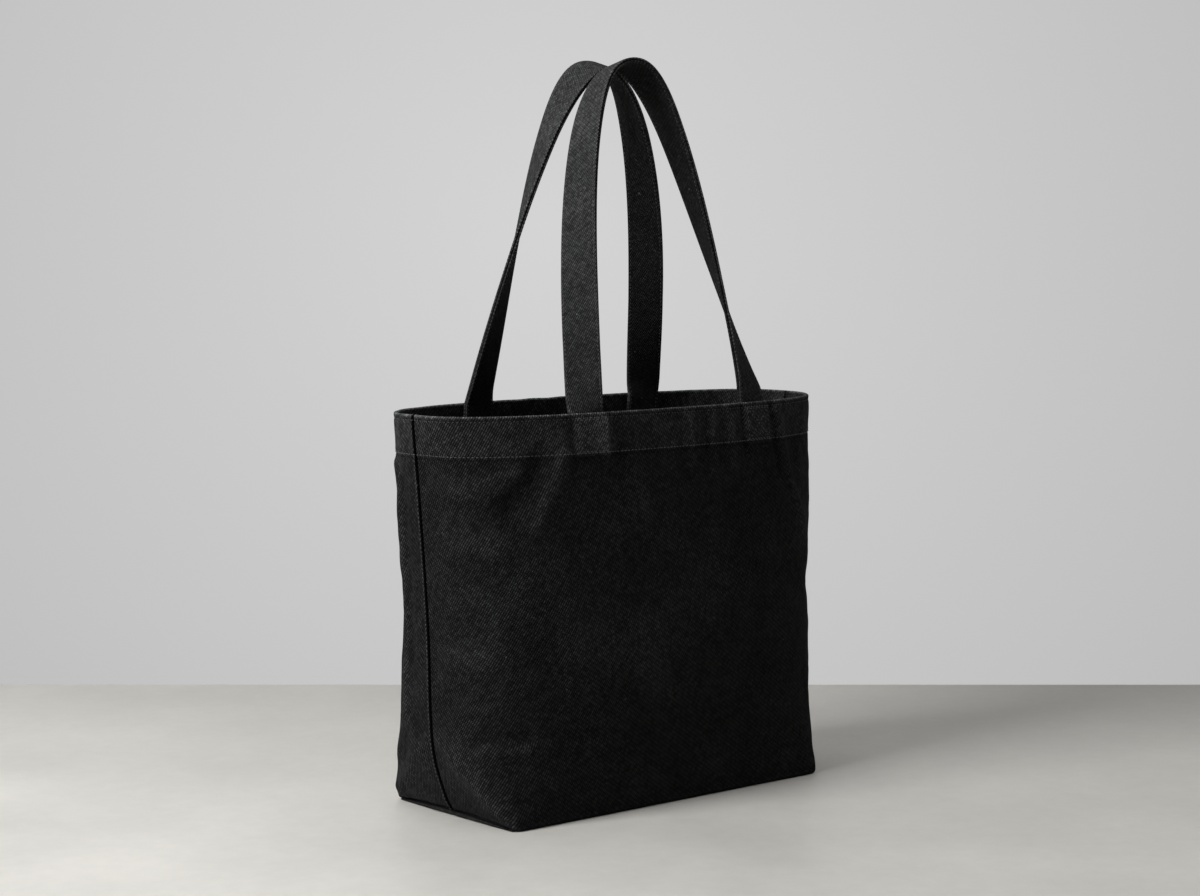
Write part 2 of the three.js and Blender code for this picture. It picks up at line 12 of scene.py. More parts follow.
import bpy
import numpy as np
from bpy.props import FloatProperty, FloatVectorProperty, IntProperty, PointerProperty
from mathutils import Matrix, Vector


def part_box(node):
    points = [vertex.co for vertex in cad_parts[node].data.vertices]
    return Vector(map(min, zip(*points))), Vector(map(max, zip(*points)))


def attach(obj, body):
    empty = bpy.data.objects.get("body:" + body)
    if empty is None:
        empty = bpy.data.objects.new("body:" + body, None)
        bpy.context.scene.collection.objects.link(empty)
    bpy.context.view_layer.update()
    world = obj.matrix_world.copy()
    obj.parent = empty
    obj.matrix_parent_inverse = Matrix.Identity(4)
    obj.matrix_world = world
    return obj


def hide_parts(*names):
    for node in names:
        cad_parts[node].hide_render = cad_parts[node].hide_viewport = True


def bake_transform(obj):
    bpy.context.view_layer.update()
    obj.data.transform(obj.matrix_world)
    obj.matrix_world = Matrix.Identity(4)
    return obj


bl_info = {
    "name": "Canvas Tote Bag",
    "version": (1, 0, 0),
    "blender": (4, 5, 0),
    "location": "3D View > Sidebar > Tote",
    "description": "Makes a canvas tote bag with boxed base, hem and folding straps",
    "category": "Object",
}

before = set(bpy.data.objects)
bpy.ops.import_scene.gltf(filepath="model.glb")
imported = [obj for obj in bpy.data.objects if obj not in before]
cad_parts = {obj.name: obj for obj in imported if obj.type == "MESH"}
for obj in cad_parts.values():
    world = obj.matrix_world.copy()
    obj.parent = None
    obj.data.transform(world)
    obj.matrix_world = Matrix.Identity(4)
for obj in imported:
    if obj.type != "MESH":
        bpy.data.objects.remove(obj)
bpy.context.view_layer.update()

MM = 0.001
FRONT, BACK = -1, 1
LEFT, RIGHT = -1, 1
SIDES = (("front", FRONT), ("back", BACK))
ENDS = (("left", LEFT), ("right", RIGHT))
RIM_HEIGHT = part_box("front_panel")[1].z
CROWN_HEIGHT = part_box("front_strap")[1].z
STUB_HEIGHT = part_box("front_strap")[0].z


# ---- sizes and colours that a user would change --------------------------------------------------


def length(name, description, value, **more):
    """A size, in metres."""
    return FloatProperty(
        name=name, description=description, default=value, unit="LENGTH", precision=4, **more
    )


def colour(name, description, value):
    """A colour without alpha."""
    return FloatVectorProperty(
        name=name, description=description, default=value, subtype="COLOR", min=0, max=1
    )


class TOTE_PG_body(bpy.types.PropertyGroup):
    """Sizes of the sewn body."""

    height: length("Height", "From the surface it stands on to the rim", RIM_HEIGHT)
    base_length: length("Base Length", "Left to right across the boxed base", 354 * MM)
    base_depth: length("Base Depth", "Front to back across the boxed base", 168 * MM)
    mouth_depth: length("Mouth Depth", "Front to back across the open mouth", 169 * MM)
    cloth: length("Cloth", "Thickness of one layer of canvas", 1.2 * MM)
    hem_depth: length("Hem Depth", "From the rim down to the lower edge of the hem", 36 * MM)
    hem_layers: IntProperty(name="Hem Layers", description="Layers of canvas in the hem", default=3)
    edge_round: length("Edge Round", "Radius between the wall and the base", 1.6 * MM)
    corner_lip: length("Corner Lip", "Height of the seam along each end of the base", 6.2 * MM)


class TOTE_PG_straps(bpy.types.PropertyGroup):
    """Sizes of the two carrying straps."""

    width: length("Width", "Across one strap", 32 * MM)
    thickness: length("Thickness", "Canvas folded to four layers", 4.8 * MM)
    spacing: length("Spacing", "Between one strap's two feet, along the cloth", 196 * MM)
    shift: length("Shift", "How far right of the middle the straps are sewn", 4 * MM)
    crown_gap: length("Crown Gap", "Between the two straps where they come together", 7 * MM)
    sewn_end: length("Sewn End", "Length of strap sewn down below the rim", 35 * MM)


class TOTE_PG_stitches(bpy.types.PropertyGroup):
    """Sizes of the thread and of its rows."""

    pitch: length("Pitch", "From one stitch to the next", 3.7 * MM)
    visible: length("Visible Length", "Length of thread that shows in one stitch", 3.0 * MM)
    thread: length("Thread", "Width of the thread", 0.85 * MM)
    rim_row: length("Rim Row", "From the rim down to the row along it", 4.5 * MM)
    hem_row: length("Hem Row", "From the hem's lower edge up to the row that holds it", 2 * MM)
    seam_row: length("Seam Row", "From the side seam to the row beside it", 2.5 * MM)
    strap_row: length("Strap Row", "From a strap's edge to the row along it", 2 * MM)
    box_margin: length("Box Margin", "From a strap's sides in to the square at its foot", 2.5 * MM)
    seed: IntProperty(name="Seed", description="Sets which way each stitch leans", default=4)


class TOTE_PG_tape(bpy.types.PropertyGroup):
    """Sizes of the tape that binds the seams inside."""

    width: length("Width", "Across the tape", 10 * MM)
    thickness: length("Thickness", "Of the folded tape", 1.5 * MM)
    clearance: length("Clearance", "Between pieces that lie against each other", 0.3 * MM)


class TOTE_PG_finish(bpy.types.PropertyGroup):
    """Colours, and the size of the weave."""

    canvas: colour("Canvas", "Body cloth", (0.0090, 0.00915, 0.0094))
    strap: colour("Strap", "Strap cloth", (0.0205, 0.0208, 0.0212))
    tape: colour("Tape", "Seam binding", (0.0070, 0.0070, 0.0075))
    thread: colour("Thread", "Stitching", (0.024, 0.024, 0.025))
    twill_across: length("Twill Across", "One rib of the weave to the next, along the cloth", 2.25 * MM)
    twill_up: length("Twill Up", "One rib of the weave to the next, up the cloth", 3.85 * MM)
    floor: colour("Floor", "Pale smooth floor", (0.57, 0.556, 0.52))
    wall: colour("Backdrop", "Pale backdrop behind the bag", (0.66, 0.66, 0.66))


# ---- the shape of the cloth ----------------------------------------------------------------------

# How the side seam stands out, from the base to the rim: a share of the height, then a share of
# the way from the base's half length to the mouth's.
SIDE_PROFILE = (
    (0, 0),
    (0.06, 0.27),
    (0.18, 0.555),
    (0.28, 0.615),
    (0.45, 0.65),
    (0.7, 0.79),
    (1, 1),
)

# A level section is |x/a|^n + |y/b|^n = 1, a crisp oblong at the base and a soft oval at the rim.
# Near the base the front and back stand almost upright, so there the depth is set, and n is what
# keeps the girth.
UPRIGHT_BELOW = 50 * MM
SQUARE_AT_BASE = 60
SQUARE_AT_MOUTH = 2.65
SQUARE_GAIN = 0.09
SQUARE_FALL = 1.6
LEAST_SQUARE = 1.5
SECTION_STEPS = 60
PROFILE_STEPS = 30
HALVINGS = 34  # of the range in which a size is looked for
GRID_STEP = 1 * MM
JUST_INSIDE = 1.001  # cells from a table's far edge, so that a place there still has a next cell
YARNS_UPRIGHT_FROM = 100 * MM  # above this height the wall flares too little to slant the weave


def through(points, steps):
    """A centripetal Catmull-Rom curve through the points, with as many steps in each span."""
    points = np.asarray(points, float)
    ghosts = np.vstack([2 * points[0] - points[1], points, 2 * points[-1] - points[-2]])
    gaps = np.sqrt(np.linalg.norm(np.diff(ghosts, axis=0), axis=1))
    knots = np.concatenate([[0], np.cumsum(gaps)])
    places = []
    for i in range(1, len(points)):
        before, here, there, after = ghosts[i - 1 : i + 3]
        k0, k1, k2, k3 = knots[i - 1 : i + 3]
        span = k2 - k1
        leave = (here - before) / (k1 - k0) - (there - before) / (k2 - k0) + (there - here) / span
        arrive = (there - here) / span - (after - here) / (k3 - k1) + (after - there) / (k3 - k2)
        t = (np.arange(steps) / steps)[:, None]
        places.append(
            (2 * t**3 - 3 * t**2 + 1) * here
            + (t**3 - 2 * t**2 + t) * span * leave
            + (3 * t**2 - 2 * t**3) * there
            + (t**3 - t**2) * span * arrive
        )
    return np.vstack([*places, points[-1:]])


def unit(vectors):
    """The same directions, each of length 1."""
    return vectors / np.linalg.norm(vectors, axis=-1, keepdims=True)


def run_of(points):
    """Distance along a line of points, from its first point to each."""
    return np.concatenate([[0], np.cumsum(np.linalg.norm(np.diff(points, axis=0), axis=1))])


def smooth_step(value, low, high):
    """0 below low, 1 above high and a soft slope between."""
    share = np.clip((value - low) / (high - low), 0, 1)
    return share * share * (3 - 2 * share)


def bell(distance, half_width):
    """1 at no distance, falling softly to 0 on both sides."""
    return np.exp(-((distance / half_width) ** 2))


def quarter_section(a, b, n):
    """Quarter of a level section, from the side seam (a, 0) round to the front's middle (0, b)."""
    shoulder = 0.5 ** (1 / n)
    share = np.arange(SECTION_STEPS + 1) / SECTION_STEPS
    rising = shoulder * (1 - (1 - share) ** 2)
    falling = shoulder * (1 - share[1:] ** 2)
    x = np.concatenate([(1 - rising**n) ** (1 / n), falling])
    y = np.concatenate([rising, (1 - falling**n) ** (1 / n)])
    points = np.stack([a * x, b * y], axis=1)
    return points, run_of(points)


def solve_for(target, section_for, low, high):
    """The value between low and high that gives a quarter section the wanted length."""
    for _ in range(HALVINGS):
        middle = (low + high) / 2
        if section_for(middle)[1][-1] < target:
            low = middle
        else:
            high = middle
    return (low + high) / 2


class Wall:
    """The middle of the outer layer of cloth as a smooth loft. Cloth doesn't stretch, so the girth
    is the same at every height. A place on it is `along`, the distance round the cloth from the
    left side seam, and `z`."""

    def __init__(self, height, base_length, base_depth, mouth_depth):
        self.height = height
        self.half_girth = base_length + base_depth
        quarter = self.half_girth / 2
        self.corner = base_depth / 2
        half_base = base_length / 2
        half_mouth = solve_for(
            quarter, lambda a: quarter_section(a, mouth_depth / 2, SQUARE_AT_MOUTH), MM, quarter
        )
        profile = through(SIDE_PROFILE, PROFILE_STEPS)
        heights = np.arange(0, height + GRID_STEP / 2, GRID_STEP)
        alongs = np.arange(0, self.half_girth + GRID_STEP / 2, GRID_STEP)
        past = alongs > quarter
        share_round = np.where(past, self.half_girth - alongs, alongs) / quarter

        def half_length(z):
            flare = np.interp(z / height, profile[:, 0], profile[:, 1])
            return half_base + (half_mouth - half_base) * flare

        def squareness(z):
            return SQUARE_AT_MOUTH + SQUARE_GAIN * (z / height) ** -SQUARE_FALL

        def half_depth(z):
            a, n = half_length(z), squareness(z)
            return solve_for(quarter, lambda b: quarter_section(a, b, n), MM, quarter)

        depth_gain = half_depth(UPRIGHT_BELOW) - self.corner
        rows = []
        for z in heights:
            a = half_length(z)
            if z < UPRIGHT_BELOW:
                b = self.corner + depth_gain * z / UPRIGHT_BELOW
                n = solve_for(quarter, lambda n: quarter_section(a, b, n), LEAST_SQUARE, SQUARE_AT_BASE)
            else:
                b, n = half_depth(z), squareness(z)
            points, lengths = quarter_section(a, b, n)
            distance = share_round * lengths[-1]
            x = np.interp(distance, lengths, points[:, 0])
            y = np.interp(distance, lengths, points[:, 1])
            rows.append(np.stack([np.where(past, x, -x), -y, np.full_like(x, z)], axis=1))
        self.points = np.array(rows)
        across = np.gradient(self.points, axis=1)
        # round a side seam the section runs straight front to back
        across[:, 0] = across[:, 0] * (0, 1, 0)
        across[:, -1] = across[:, -1] * (0, 1, 0)
        up = np.gradient(self.points, axis=0)
        self.outs = unit(np.cross(across, up))
        # the upright yarns stand square to the level ones, also where the ends flare from the base
        slant = (up * unit(across)).sum(-1)
        self.yarns = np.tile(alongs, (len(heights), 1))
        for row in reversed(range(round(YARNS_UPRIGHT_FROM / GRID_STEP))):
            self.yarns[row] = np.interp(alongs - slant[row], alongs, self.yarns[row + 1])

    def table(self, values, along, z):
        """Reads a table of values, one for each step round and up, between its steps."""
        rows, columns = values.shape[:2]
        column = np.clip(along / GRID_STEP, 0, columns - JUST_INSIDE)
        row = np.clip(z / GRID_STEP, 0, rows - JUST_INSIDE)
        i, j = column.astype(int), row.astype(int)
        s, t = (column - i)[..., None], (row - j)[..., None]
        low = values[j, i] * (1 - s) + values[j, i + 1] * s
        high = values[j + 1, i] * (1 - s) + values[j + 1, i + 1] * s
        return low * (1 - t) + high * t

    def at(self, side, along, z):
        """Places on the loft and the directions straight out of them. Past a side seam, along goes
        on round the other panel."""
        along, z = np.broadcast_arrays(np.asarray(along, float), np.asarray(z, float))
        over = (along < 0) | (along > self.half_girth)
        near = np.abs(np.where(along > self.half_girth, 2 * self.half_girth - along, along))
        flip = np.stack([np.ones_like(z), np.where(over, side, -side), np.ones_like(z)], axis=-1)
        return self.table(self.points, near, z) * flip, unit(self.table(self.outs, near, z) * flip)


@functools.lru_cache
def wall_of(height, base_length, base_depth, mouth_depth):
    """The loft for these sizes, worked out once."""
    return Wall(height, base_length, base_depth, mouth_depth)


def current_wall(body):
    """The loft for the body's present sizes."""
    return wall_of(body.height, body.base_length, body.base_depth, body.mouth_depth)


def foot_along(wall, straps, end):
    """Distance round the cloth to the middle of a strap's foot."""
    return wall.half_girth / 2 + straps.shift + end * straps.spacing / 2


# ---- folds, creases and relief of the cloth ------------------------------------------------------

# Each fold: height in millimetres (below zero for a valley), half width, then the points that it
# runs through, as millimetres along from the left seam and up from the base.
FRONT_FOLDS = (
    (-3.2, 9, (119, 316), (103, 294), (86, 270)),
    (2.4, 9, (96, 302), (66, 290), (34, 288)),
    (2.8, 8, (140, 314), (125, 287), (110, 258)),
    (-1.8, 9, (72, 268), (30, 264)),
    (-1.5, 10, (27, 274), (20, 268)),
    (2.0, 12, (66, 240), (26, 238)),
    (-1.6, 11, (50, 174), (20, 178)),
    (1.9, 12, (56, 147), (20, 144)),
    (-0.8, 13, (60, 122), (36, 112)),
    (-1.0, 5, (8, 304), (52, 306), (96, 306)),
    (-1.1, 5, (145, 308), (190, 307)),
    (1.7, 9, (183, 350), (183, 312)),
    (-1.2, 6, (149, 350), (149, 312)),
    (-1.6, 4, (193, 349), (194, 312), (198, 290)),
    (0.8, 8, (214, 312), (216, 285), (222, 262)),
    (-0.8, 7, (236, 316), (240, 276)),
    (-1.3, 6, (266, 350), (267, 318), (270, 286)),
    (1.0, 5, (279, 348), (280, 300)),
    (-1.4, 3.5, (297, 350), (297, 318), (299, 296)),
    (0.9, 4, (306, 348), (307, 290)),
    (-1.1, 4, (317, 350), (318, 300)),
    (1.0, 5, (328, 350), (329, 292)),
    (-2.2, 3.5, (345, 350), (345, 322), (346, 300)),
    (-2.2, 4, (382, 350), (385, 318), (390, 288)),
    (1.7, 5, (391, 348), (399, 310), (410, 276), (432, 236)),
    (-1.0, 7, (410, 330), (421, 296)),
    (-1.4, 14, (330, 262), (338, 214)),
    (1.5, 34, (150, 152), (225, 150)),
    (0.5, 18, (298, 244), (300, 190)),
    (-1.4, 14, (206, 236), (214, 200)),
    (-0.9, 10, (150, 222), (166, 186)),
    (-0.9, 4, (56, 75), (110, 76), (190, 73), (316, 67)),
    (-2.0, 5, (58, 79), (100, 78)),
    (2.2, 5, (60, 68), (100, 68)),
    (-2.4, 22, (422, 183), (472, 176)),
    (-1.0, 14, (420, 80), (466, 76)),
    (-1.5, 9, (84, 50), (97, 24)),
    (0.7, 3, (60, 69.5), (110, 70), (190, 67)),
    (1.0, 9, (92, 60), (120, 34)),
    (-0.9, 12, (130, 60), (150, 40)),
)
BACK_FOLDS = (
    (-2.0, 9, (118, 316), (96, 292), (78, 262)),
    (1.7, 10, (140, 314), (122, 280), (104, 240)),
    (-1.3, 5, (146, 308), (188, 307)),
    (-1.1, 5, (342, 308), (382, 307)),
    (1.6, 8, (386, 316), (402, 286), (424, 250)),
    (-1.7, 8, (398, 320), (418, 290), (440, 268)),
    (1.3, 12, (36, 268), (30, 226)),
    (-1.1, 14, (50, 200), (44, 168)),
    (-1.0, 6, (218, 350), (220, 296)),
    (0.9, 6, (234, 350), (238, 286)),
    (-1.2, 5, (252, 350), (252, 292)),
    (0.9, 7, (270, 348), (272, 282)),
    (-1.0, 6, (290, 350), (292, 300)),
    (-1.0, 16, (196, 230), (210, 190)),
    (1.0, 18, (300, 214), (320, 170)),
    (1.1, 12, (476, 262), (486, 220)),
    (-1.0, 13, (470, 190), (478, 150)),
    (3.0, 5, (34, 306), (36, 200), (38, 84)),
    (-1.8, 4, (46, 296), (48, 180), (48, 96)),
    (-1.2, 4, (24, 296), (26, 120)),
    (1.4, 5, (48, 84), (64, 44), (76, 16)),
    (-1.2, 7, (40, 66), (54, 34)),
    (-0.9, 4, (96, 76), (210, 75), (330, 76), (430, 75)),
    (0.7, 3, (110, 70), (260, 69), (420, 70)),
)
# Broad hanging unevenness, then small ripples: seed, size along and up in millimetres, height.
UNEVENNESS = (
    (11, 46, 60, 0.6),
    (12, 13, 18, 0.4),
    (13, 6, 7, 0.12),
)
BACK_SEED_STEP = 40
FLAT_FROM = (80, 150)  # millimetres from a side seam over which the unevenness eases off
FLAT_EASE = 0.5
SEAM_HOLD = 10  # millimetres from a side seam, and up from the base, in which folds set in
BASE_HOLD = 14 * MM
HELD_STILL = 0.001  # what is left of a fold at a seam

STRAP_BRIDGE = 1.5 * MM  # how far the cloth bridges out past each edge of a strap sewn behind it
HEM_STEP = 0.55 * MM  # how far the hem stands out from the wall
FOOT_STEP = 1.7 * MM  # how far the cloth stands out over a strap's sewn end
HEM_ROW_GROOVE = 0.75 * MM
RIM_ROW_GROOVE = 0.5 * MM
SQUARE_GROOVE = 0.3 * MM
SEAM_WELT = 0.95 * MM
# Where painted light falls on the upper middle of the wall: its middle and reach, along and up.
BELLY_MIDDLE = (200 * MM, 245 * MM)
BELLY_REACH = (75 * MM, 90 * MM)
# How much paler or darker than new cloth, as shares: the hem is painted paler and the inside of the hem
# is rubbed paler; the rest are painted light, a highlight on the raised strap squares and light on the
# wall's upper middle, and painted shade beside the squares, under the hem and rim, in the seam's groove
# and along the lowest edge.
HEM_PALER = 0.72
BELLY_PAINTED_LIGHT = 0.22
FOOT_SQUARE_HIGHLIGHT = 0.7
INSIDE_HEM_FADE = 0.9
BESIDE_FOOT_SHADE = 0.5
UNDER_HEM_SHADE = 0.45
UNDER_RIM_SHADE = 0.5
GROOVE_SHADE = 0.96
LOWER_EDGE_SHADE = 0.9

# The boxed corner's flat triangle: its sloping edge, and the hollow below it.
FACET_EDGE = (1.9, 6, (82, 4), (44, 40), (4, 73))
FACET_HOLLOW = (-1.2, 15, (22, 22), (34, 16))


def crease(along, z, height, half_width, *path):
    """A soft ridge along a path on the flat cloth, or a valley where height is below zero."""
    nearest = np.full(np.shape(along), np.inf)
    for (along0, z0), (along1, z1) in zip(path, path[1:]):
        run, rise = along1 - along0, z1 - z0
        share = ((along - along0) * run + (z - z0) * rise) / (run**2 + rise**2)
        share = np.clip(share, 0, 1)
        distance = np.hypot(along - along0 - share * run, z - z0 - share * rise)
        nearest = np.minimum(nearest, distance)
    return height * bell(nearest, half_width)


@functools.lru_cache
def soft_noise(seed, rows, columns, along_scale, up_scale):
    """A smooth random table with a spread of 1. The scales are sizes of its bumps, in steps."""
    grain = np.random.default_rng(seed).standard_normal((rows, columns))
    up = np.fft.fftfreq(rows)[:, None] * up_scale
    along = np.fft.rfftfreq(columns)[None, :] * along_scale
    blur = np.exp(-2 * (math.pi * 0.5) ** 2 * (up**2 + along**2))
    smooth = np.fft.irfft2(np.fft.rfft2(grain) * blur, s=grain.shape)
    return (smooth - smooth.mean()) / smooth.std()


def inside_box(along, z, middle, half_width, low, high, soft):
    """1 inside an upright oblong on the cloth, falling to 0 over a soft edge."""
    across = 1 - smooth_step(np.abs(along - middle), half_width - soft / 2, half_width + soft / 2)
    up = smooth_step(z, low - soft / 2, low + soft / 2)
    return across * up * (1 - smooth_step(z, high - soft / 2, high + soft / 2))


class Cloth:
    """The panels as they really hang: the loft with its folds, hem and relief."""

    def __init__(self, scene):
        self.body, self.straps = scene.tote_body, scene.tote_straps
        self.stitches = scene.tote_stitches
        self.wall = current_wall(self.body)
        self.hem_bottom = self.body.height - self.body.hem_depth
        self.hem_row = self.hem_bottom + self.stitches.hem_row
        self.outer_face = self.body.cloth / 2
        self.inner_face = -self.body.cloth / 2
        self.hem_inner_face = self.outer_face - self.body.hem_layers * self.body.cloth
        self.hem_half = self.body.hem_layers * self.body.cloth / 2

    def folds(self, side, along, z):
        """How far the cloth stands out from the loft. Both faces of the cloth share this."""
        wall = self.wall
        over = (along < 0) | (along > wall.half_girth)
        near = np.abs(np.where(along > wall.half_girth, 2 * wall.half_girth - along, along))
        out = np.zeros(np.shape(near))
        for panel, table in ((FRONT, FRONT_FOLDS), (BACK, BACK_FOLDS)):
            here = np.where(over, -side, side) == panel
            for height, half_width, *path in table:
                out += here * crease(near / MM, z / MM, height, half_width, *path)
        from_seam = np.minimum(near, wall.half_girth - near) / MM
        for height, half_width, *path in (FACET_EDGE, FACET_HOLLOW):
            out += crease(from_seam, z / MM, height, half_width, *path)
        out *= MM
        # most of the unevenness is where the cloth turns at the ends
        flatter = 1 - FLAT_EASE * smooth_step(from_seam, *FLAT_FROM)
        for seed, along_mm, up_mm, height in UNEVENNESS:
            seed += BACK_SEED_STEP * (side == BACK)
            table = soft_noise(seed, *wall.points.shape[:2], along_mm, up_mm)[..., None]
            out += height * MM * wall.table(table, near, z)[..., 0] * flatter
        # the seams and the base's edges hold the cloth still
        loose = smooth_step(from_seam, 0, SEAM_HOLD) * smooth_step(z, 0, BASE_HOLD)
        return out * (loose * (1 - HELD_STILL) + HELD_STILL)

    def relief(self, side, along, z):
        """How far the outer face stands out beyond the folds: hem, seams and strap ends under it."""
        stitches, straps = self.stitches, self.straps
        top = self.body.height
        out = HEM_STEP * smooth_step(z, self.hem_bottom - 0.6 * MM, self.hem_bottom + 1.8 * MM)
        out = out - HEM_ROW_GROOVE * bell(z - (self.hem_row - 0.6 * MM), 1.2 * MM)
        out = out - RIM_ROW_GROOVE * bell(z - (top - stitches.rim_row), 1.2 * MM)
        for end in (LEFT, RIGHT):
            middle = foot_along(self.wall, straps, end)
            low, high = self.hem_bottom - 1.5 * MM, top - 3.5 * MM
            half = straps.width / 2 + STRAP_BRIDGE
            out = out + FOOT_STEP * inside_box(along, z, middle, half, low, high, 2.2 * MM)
            from_row = np.abs(along - middle) - straps.width / 2 + stitches.box_margin
            out = out - SQUARE_GROOVE * smooth_step(z, low, low + 2 * MM) * bell(from_row, 0.9 * MM)
        if side == BACK:
            # the side seam's turned-back layers make a welt on the back panel's side
            out = out + SEAM_WELT * bell(self.from_seam(along) - 2.6 * MM, 1.6 * MM)
        return out

    def lip(self, from_corner):
        """Height of the seam along an end of the base, at a distance in from the corner."""
        return self.body.corner_lip * (1 - np.exp(-np.maximum(from_corner, 0) / LIP_LENGTH))

    def from_seam(self, along):
        """Distance round the cloth from the nearer side seam."""
        return np.minimum(along, self.wall.half_girth - along)

    def fade(self, along, z):
        """How much paler or darker the cloth is painted than new: the hem is painted paler, the raised
        strap squares get a painted highlight, the upper middle of the wall gets painted light, and
        painted shade lies beside the squares, under the hem, just under the rim and in the side seam's
        groove."""
        hem = smooth_step(z, self.hem_bottom - 1 * MM, self.hem_bottom + 1.5 * MM)
        across = (along - BELLY_MIDDLE[0]) / BELLY_REACH[0]
        belly = across**2 + ((z - BELLY_MIDDLE[1]) / BELLY_REACH[1]) ** 2
        # the hem is painted paler, and painted light falls on the upper middle of the wall
        out = HEM_PALER * hem + BELLY_PAINTED_LIGHT * np.exp(-belly) * (1 - hem)
        for end in (LEFT, RIGHT):
            middle = foot_along(self.wall, self.straps, end)
            half = self.straps.width / 2 + STRAP_BRIDGE
            low, high = self.hem_bottom - 1 * MM, self.body.height - 4 * MM
            # a painted highlight on each raised strap square
            out = out + FOOT_SQUARE_HIGHLIGHT * inside_box(along, z, middle, half, low, high, 2 * MM)
            # painted shade beside each strap square, within the hem
            out = out - BESIDE_FOOT_SHADE * hem * bell(np.abs(along - middle) - half - 1.2 * MM, 1.4 * MM)
        # painted shade just under the hem and just under the rim
        out = out - UNDER_HEM_SHADE * bell(z - self.hem_bottom + 0.4 * MM, 1.5 * MM)
        out = out - UNDER_RIM_SHADE * bell(self.body.height - z - 3.4 * MM, 1.6 * MM)
        # painted shade in the side seam's groove
        groove = 1 - smooth_step(self.from_seam(along), 1.2 * MM, 2.0 * MM)
        return out * (1 - groove) - GROOVE_SHADE * groove

    def place(self, side, along, z, out):
        """Places at a distance out from the middle of the hanging cloth, and their directions."""
        along, z = np.broadcast_arrays(np.asarray(along, float), np.asarray(z, float))
        points, outs = self.wall.at(side, along, z)
        return points + outs * (self.folds(side, along, z) + out)[..., None], outs

    def on_outside(self, side, along, z, above):
        """Places a little above the outer face, and their directions."""
        along, z = np.broadcast_arrays(np.asarray(along, float), np.asarray(z, float))
        return self.place(side, along, z, self.outer_face + self.relief(side, along, z) + above)


# ---- making meshes -------------------------------------------------------------------------------


def new_mesh(name, points, faces, uv, material, **marks):
    """A smooth-shaded mesh object at the origin, with its cloth coordinates and two marks, each a number
    for every point: how rubbed the cloth is, with a painted highlight along the rim, and how much paler
    or darker, much of it painted light and shade."""
    mesh = bpy.data.meshes.new(name)
    mesh.from_pydata(points.tolist(), [], faces)
    layer = mesh.uv_layers.new(name="cloth")
    corners = np.zeros(len(mesh.loops), int)
    mesh.loops.foreach_get("vertex_index", corners)
    layer.data.foreach_set("uv", np.asarray(uv, np.float32)[corners].ravel())
    for mark in ("wear", "fade"):
        values = np.asarray(marks.get(mark, np.zeros(len(points))), np.float32)
        mesh.attributes.new(mark, "FLOAT", "POINT").data.foreach_set("value", values)
    mesh.shade_smooth()
    mesh.materials.append(material)
    mesh.validate()
    if signed_volume(mesh) < 0:
        mesh.flip_normals()
    obj = bpy.data.objects.new(name, mesh)
    bpy.context.scene.collection.objects.link(obj)
    return obj


def signed_volume(mesh):
    """Six times the volume that the mesh encloses; below zero if it is inside out."""
    mesh.calc_loop_triangles()
    corners = np.zeros(len(mesh.loop_triangles) * 3, int)
    mesh.loop_triangles.foreach_get("vertices", corners)
    points = np.zeros(len(mesh.vertices) * 3)
    mesh.vertices.foreach_get("co", points)
    a, b, c = points.reshape(-1, 3)[corners].reshape(-1, 3, 3).transpose(1, 0, 2)
    return float((a * np.cross(b, c)).sum())


def finish_piece(obj, nodes, body=None):
    """Hides the frame nodes that the piece stands for and, when a body is given, sets the piece on that
    body."""
    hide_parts(*nodes)
    if body:
        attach(obj, body)


# ---- panels --------------------------------------------------------------------------------------

SEAM_ROLL = 1.6 * MM  # how far from a side seam the cloth starts to turn in
SEAM_HALF_GAP = 0.4 * MM
ROLL_STEPS = 6
RIM_STEPS = 6
RIM_TURN = 82  # degrees, from straight out towards straight up, through which the rim rounds over
HEM_SEAM_TURN = 1.1 * MM  # how far the hem's inner face turns out at a side seam
INNER_TUCK = 0.6  # of the outer face's tuck at the base's edge
BASE_STEPS = 26
BASE_SEAM_TURN = 0.9 * MM
BAND_STEPS = 8
BAND_TURN = (-90, 78)  # degrees through which the band along each end of the base bulges round
BAND_REACH = 2 * MM  # how far it bulges out
BAND_SHARE = 0.45  # the same as a share of the corner seam's height, where that is low
BAND_STAND = 0.2 * MM  # how far it stands out past the wall
BAND_GAP = 0.5 * MM  # between its top and the wall's lower edge
BAND_DRAWN_IN = 0.6  # how much of its lowest part is drawn in to the base
BAND_FADE = 0.6
# painted shadow under the wall's edge along the band's top, and painted shade at the band's foot
BAND_TOP_SHADE = 1.5
BAND_FOOT_SHADE = 1.3
LIP_LENGTH = 25 * MM  # in which the corner seam rises from the base's corner
LIP_FADES_BY = 60 * MM  # above this height the cloth no longer follows the corner seam
WALL_BREAK = 16 * MM  # below this height a panel's rows are closer together
# how much paler the rim's fold edge is: partly rubbed, partly a painted highlight
RIM_WEAR_AND_HIGHLIGHT = 3.4
SEAM_WEAR = 0.35
EDGE_WEAR = 0.3
FOLD_WEAR = 0.5
FOLD_WEAR_HEIGHT = 3.2 * MM  # of a fold that would be wholly worn


def packed(low, high, steps, power):
    """Numbers from low to high, packed more closely towards both ends by a higher power."""
    share = np.linspace(-1, 1, steps + 1)
    bent = np.sign(share) * (1 - (1 - np.abs(share)) ** power)
    return low + (high - low) * (bent + 1) / 2


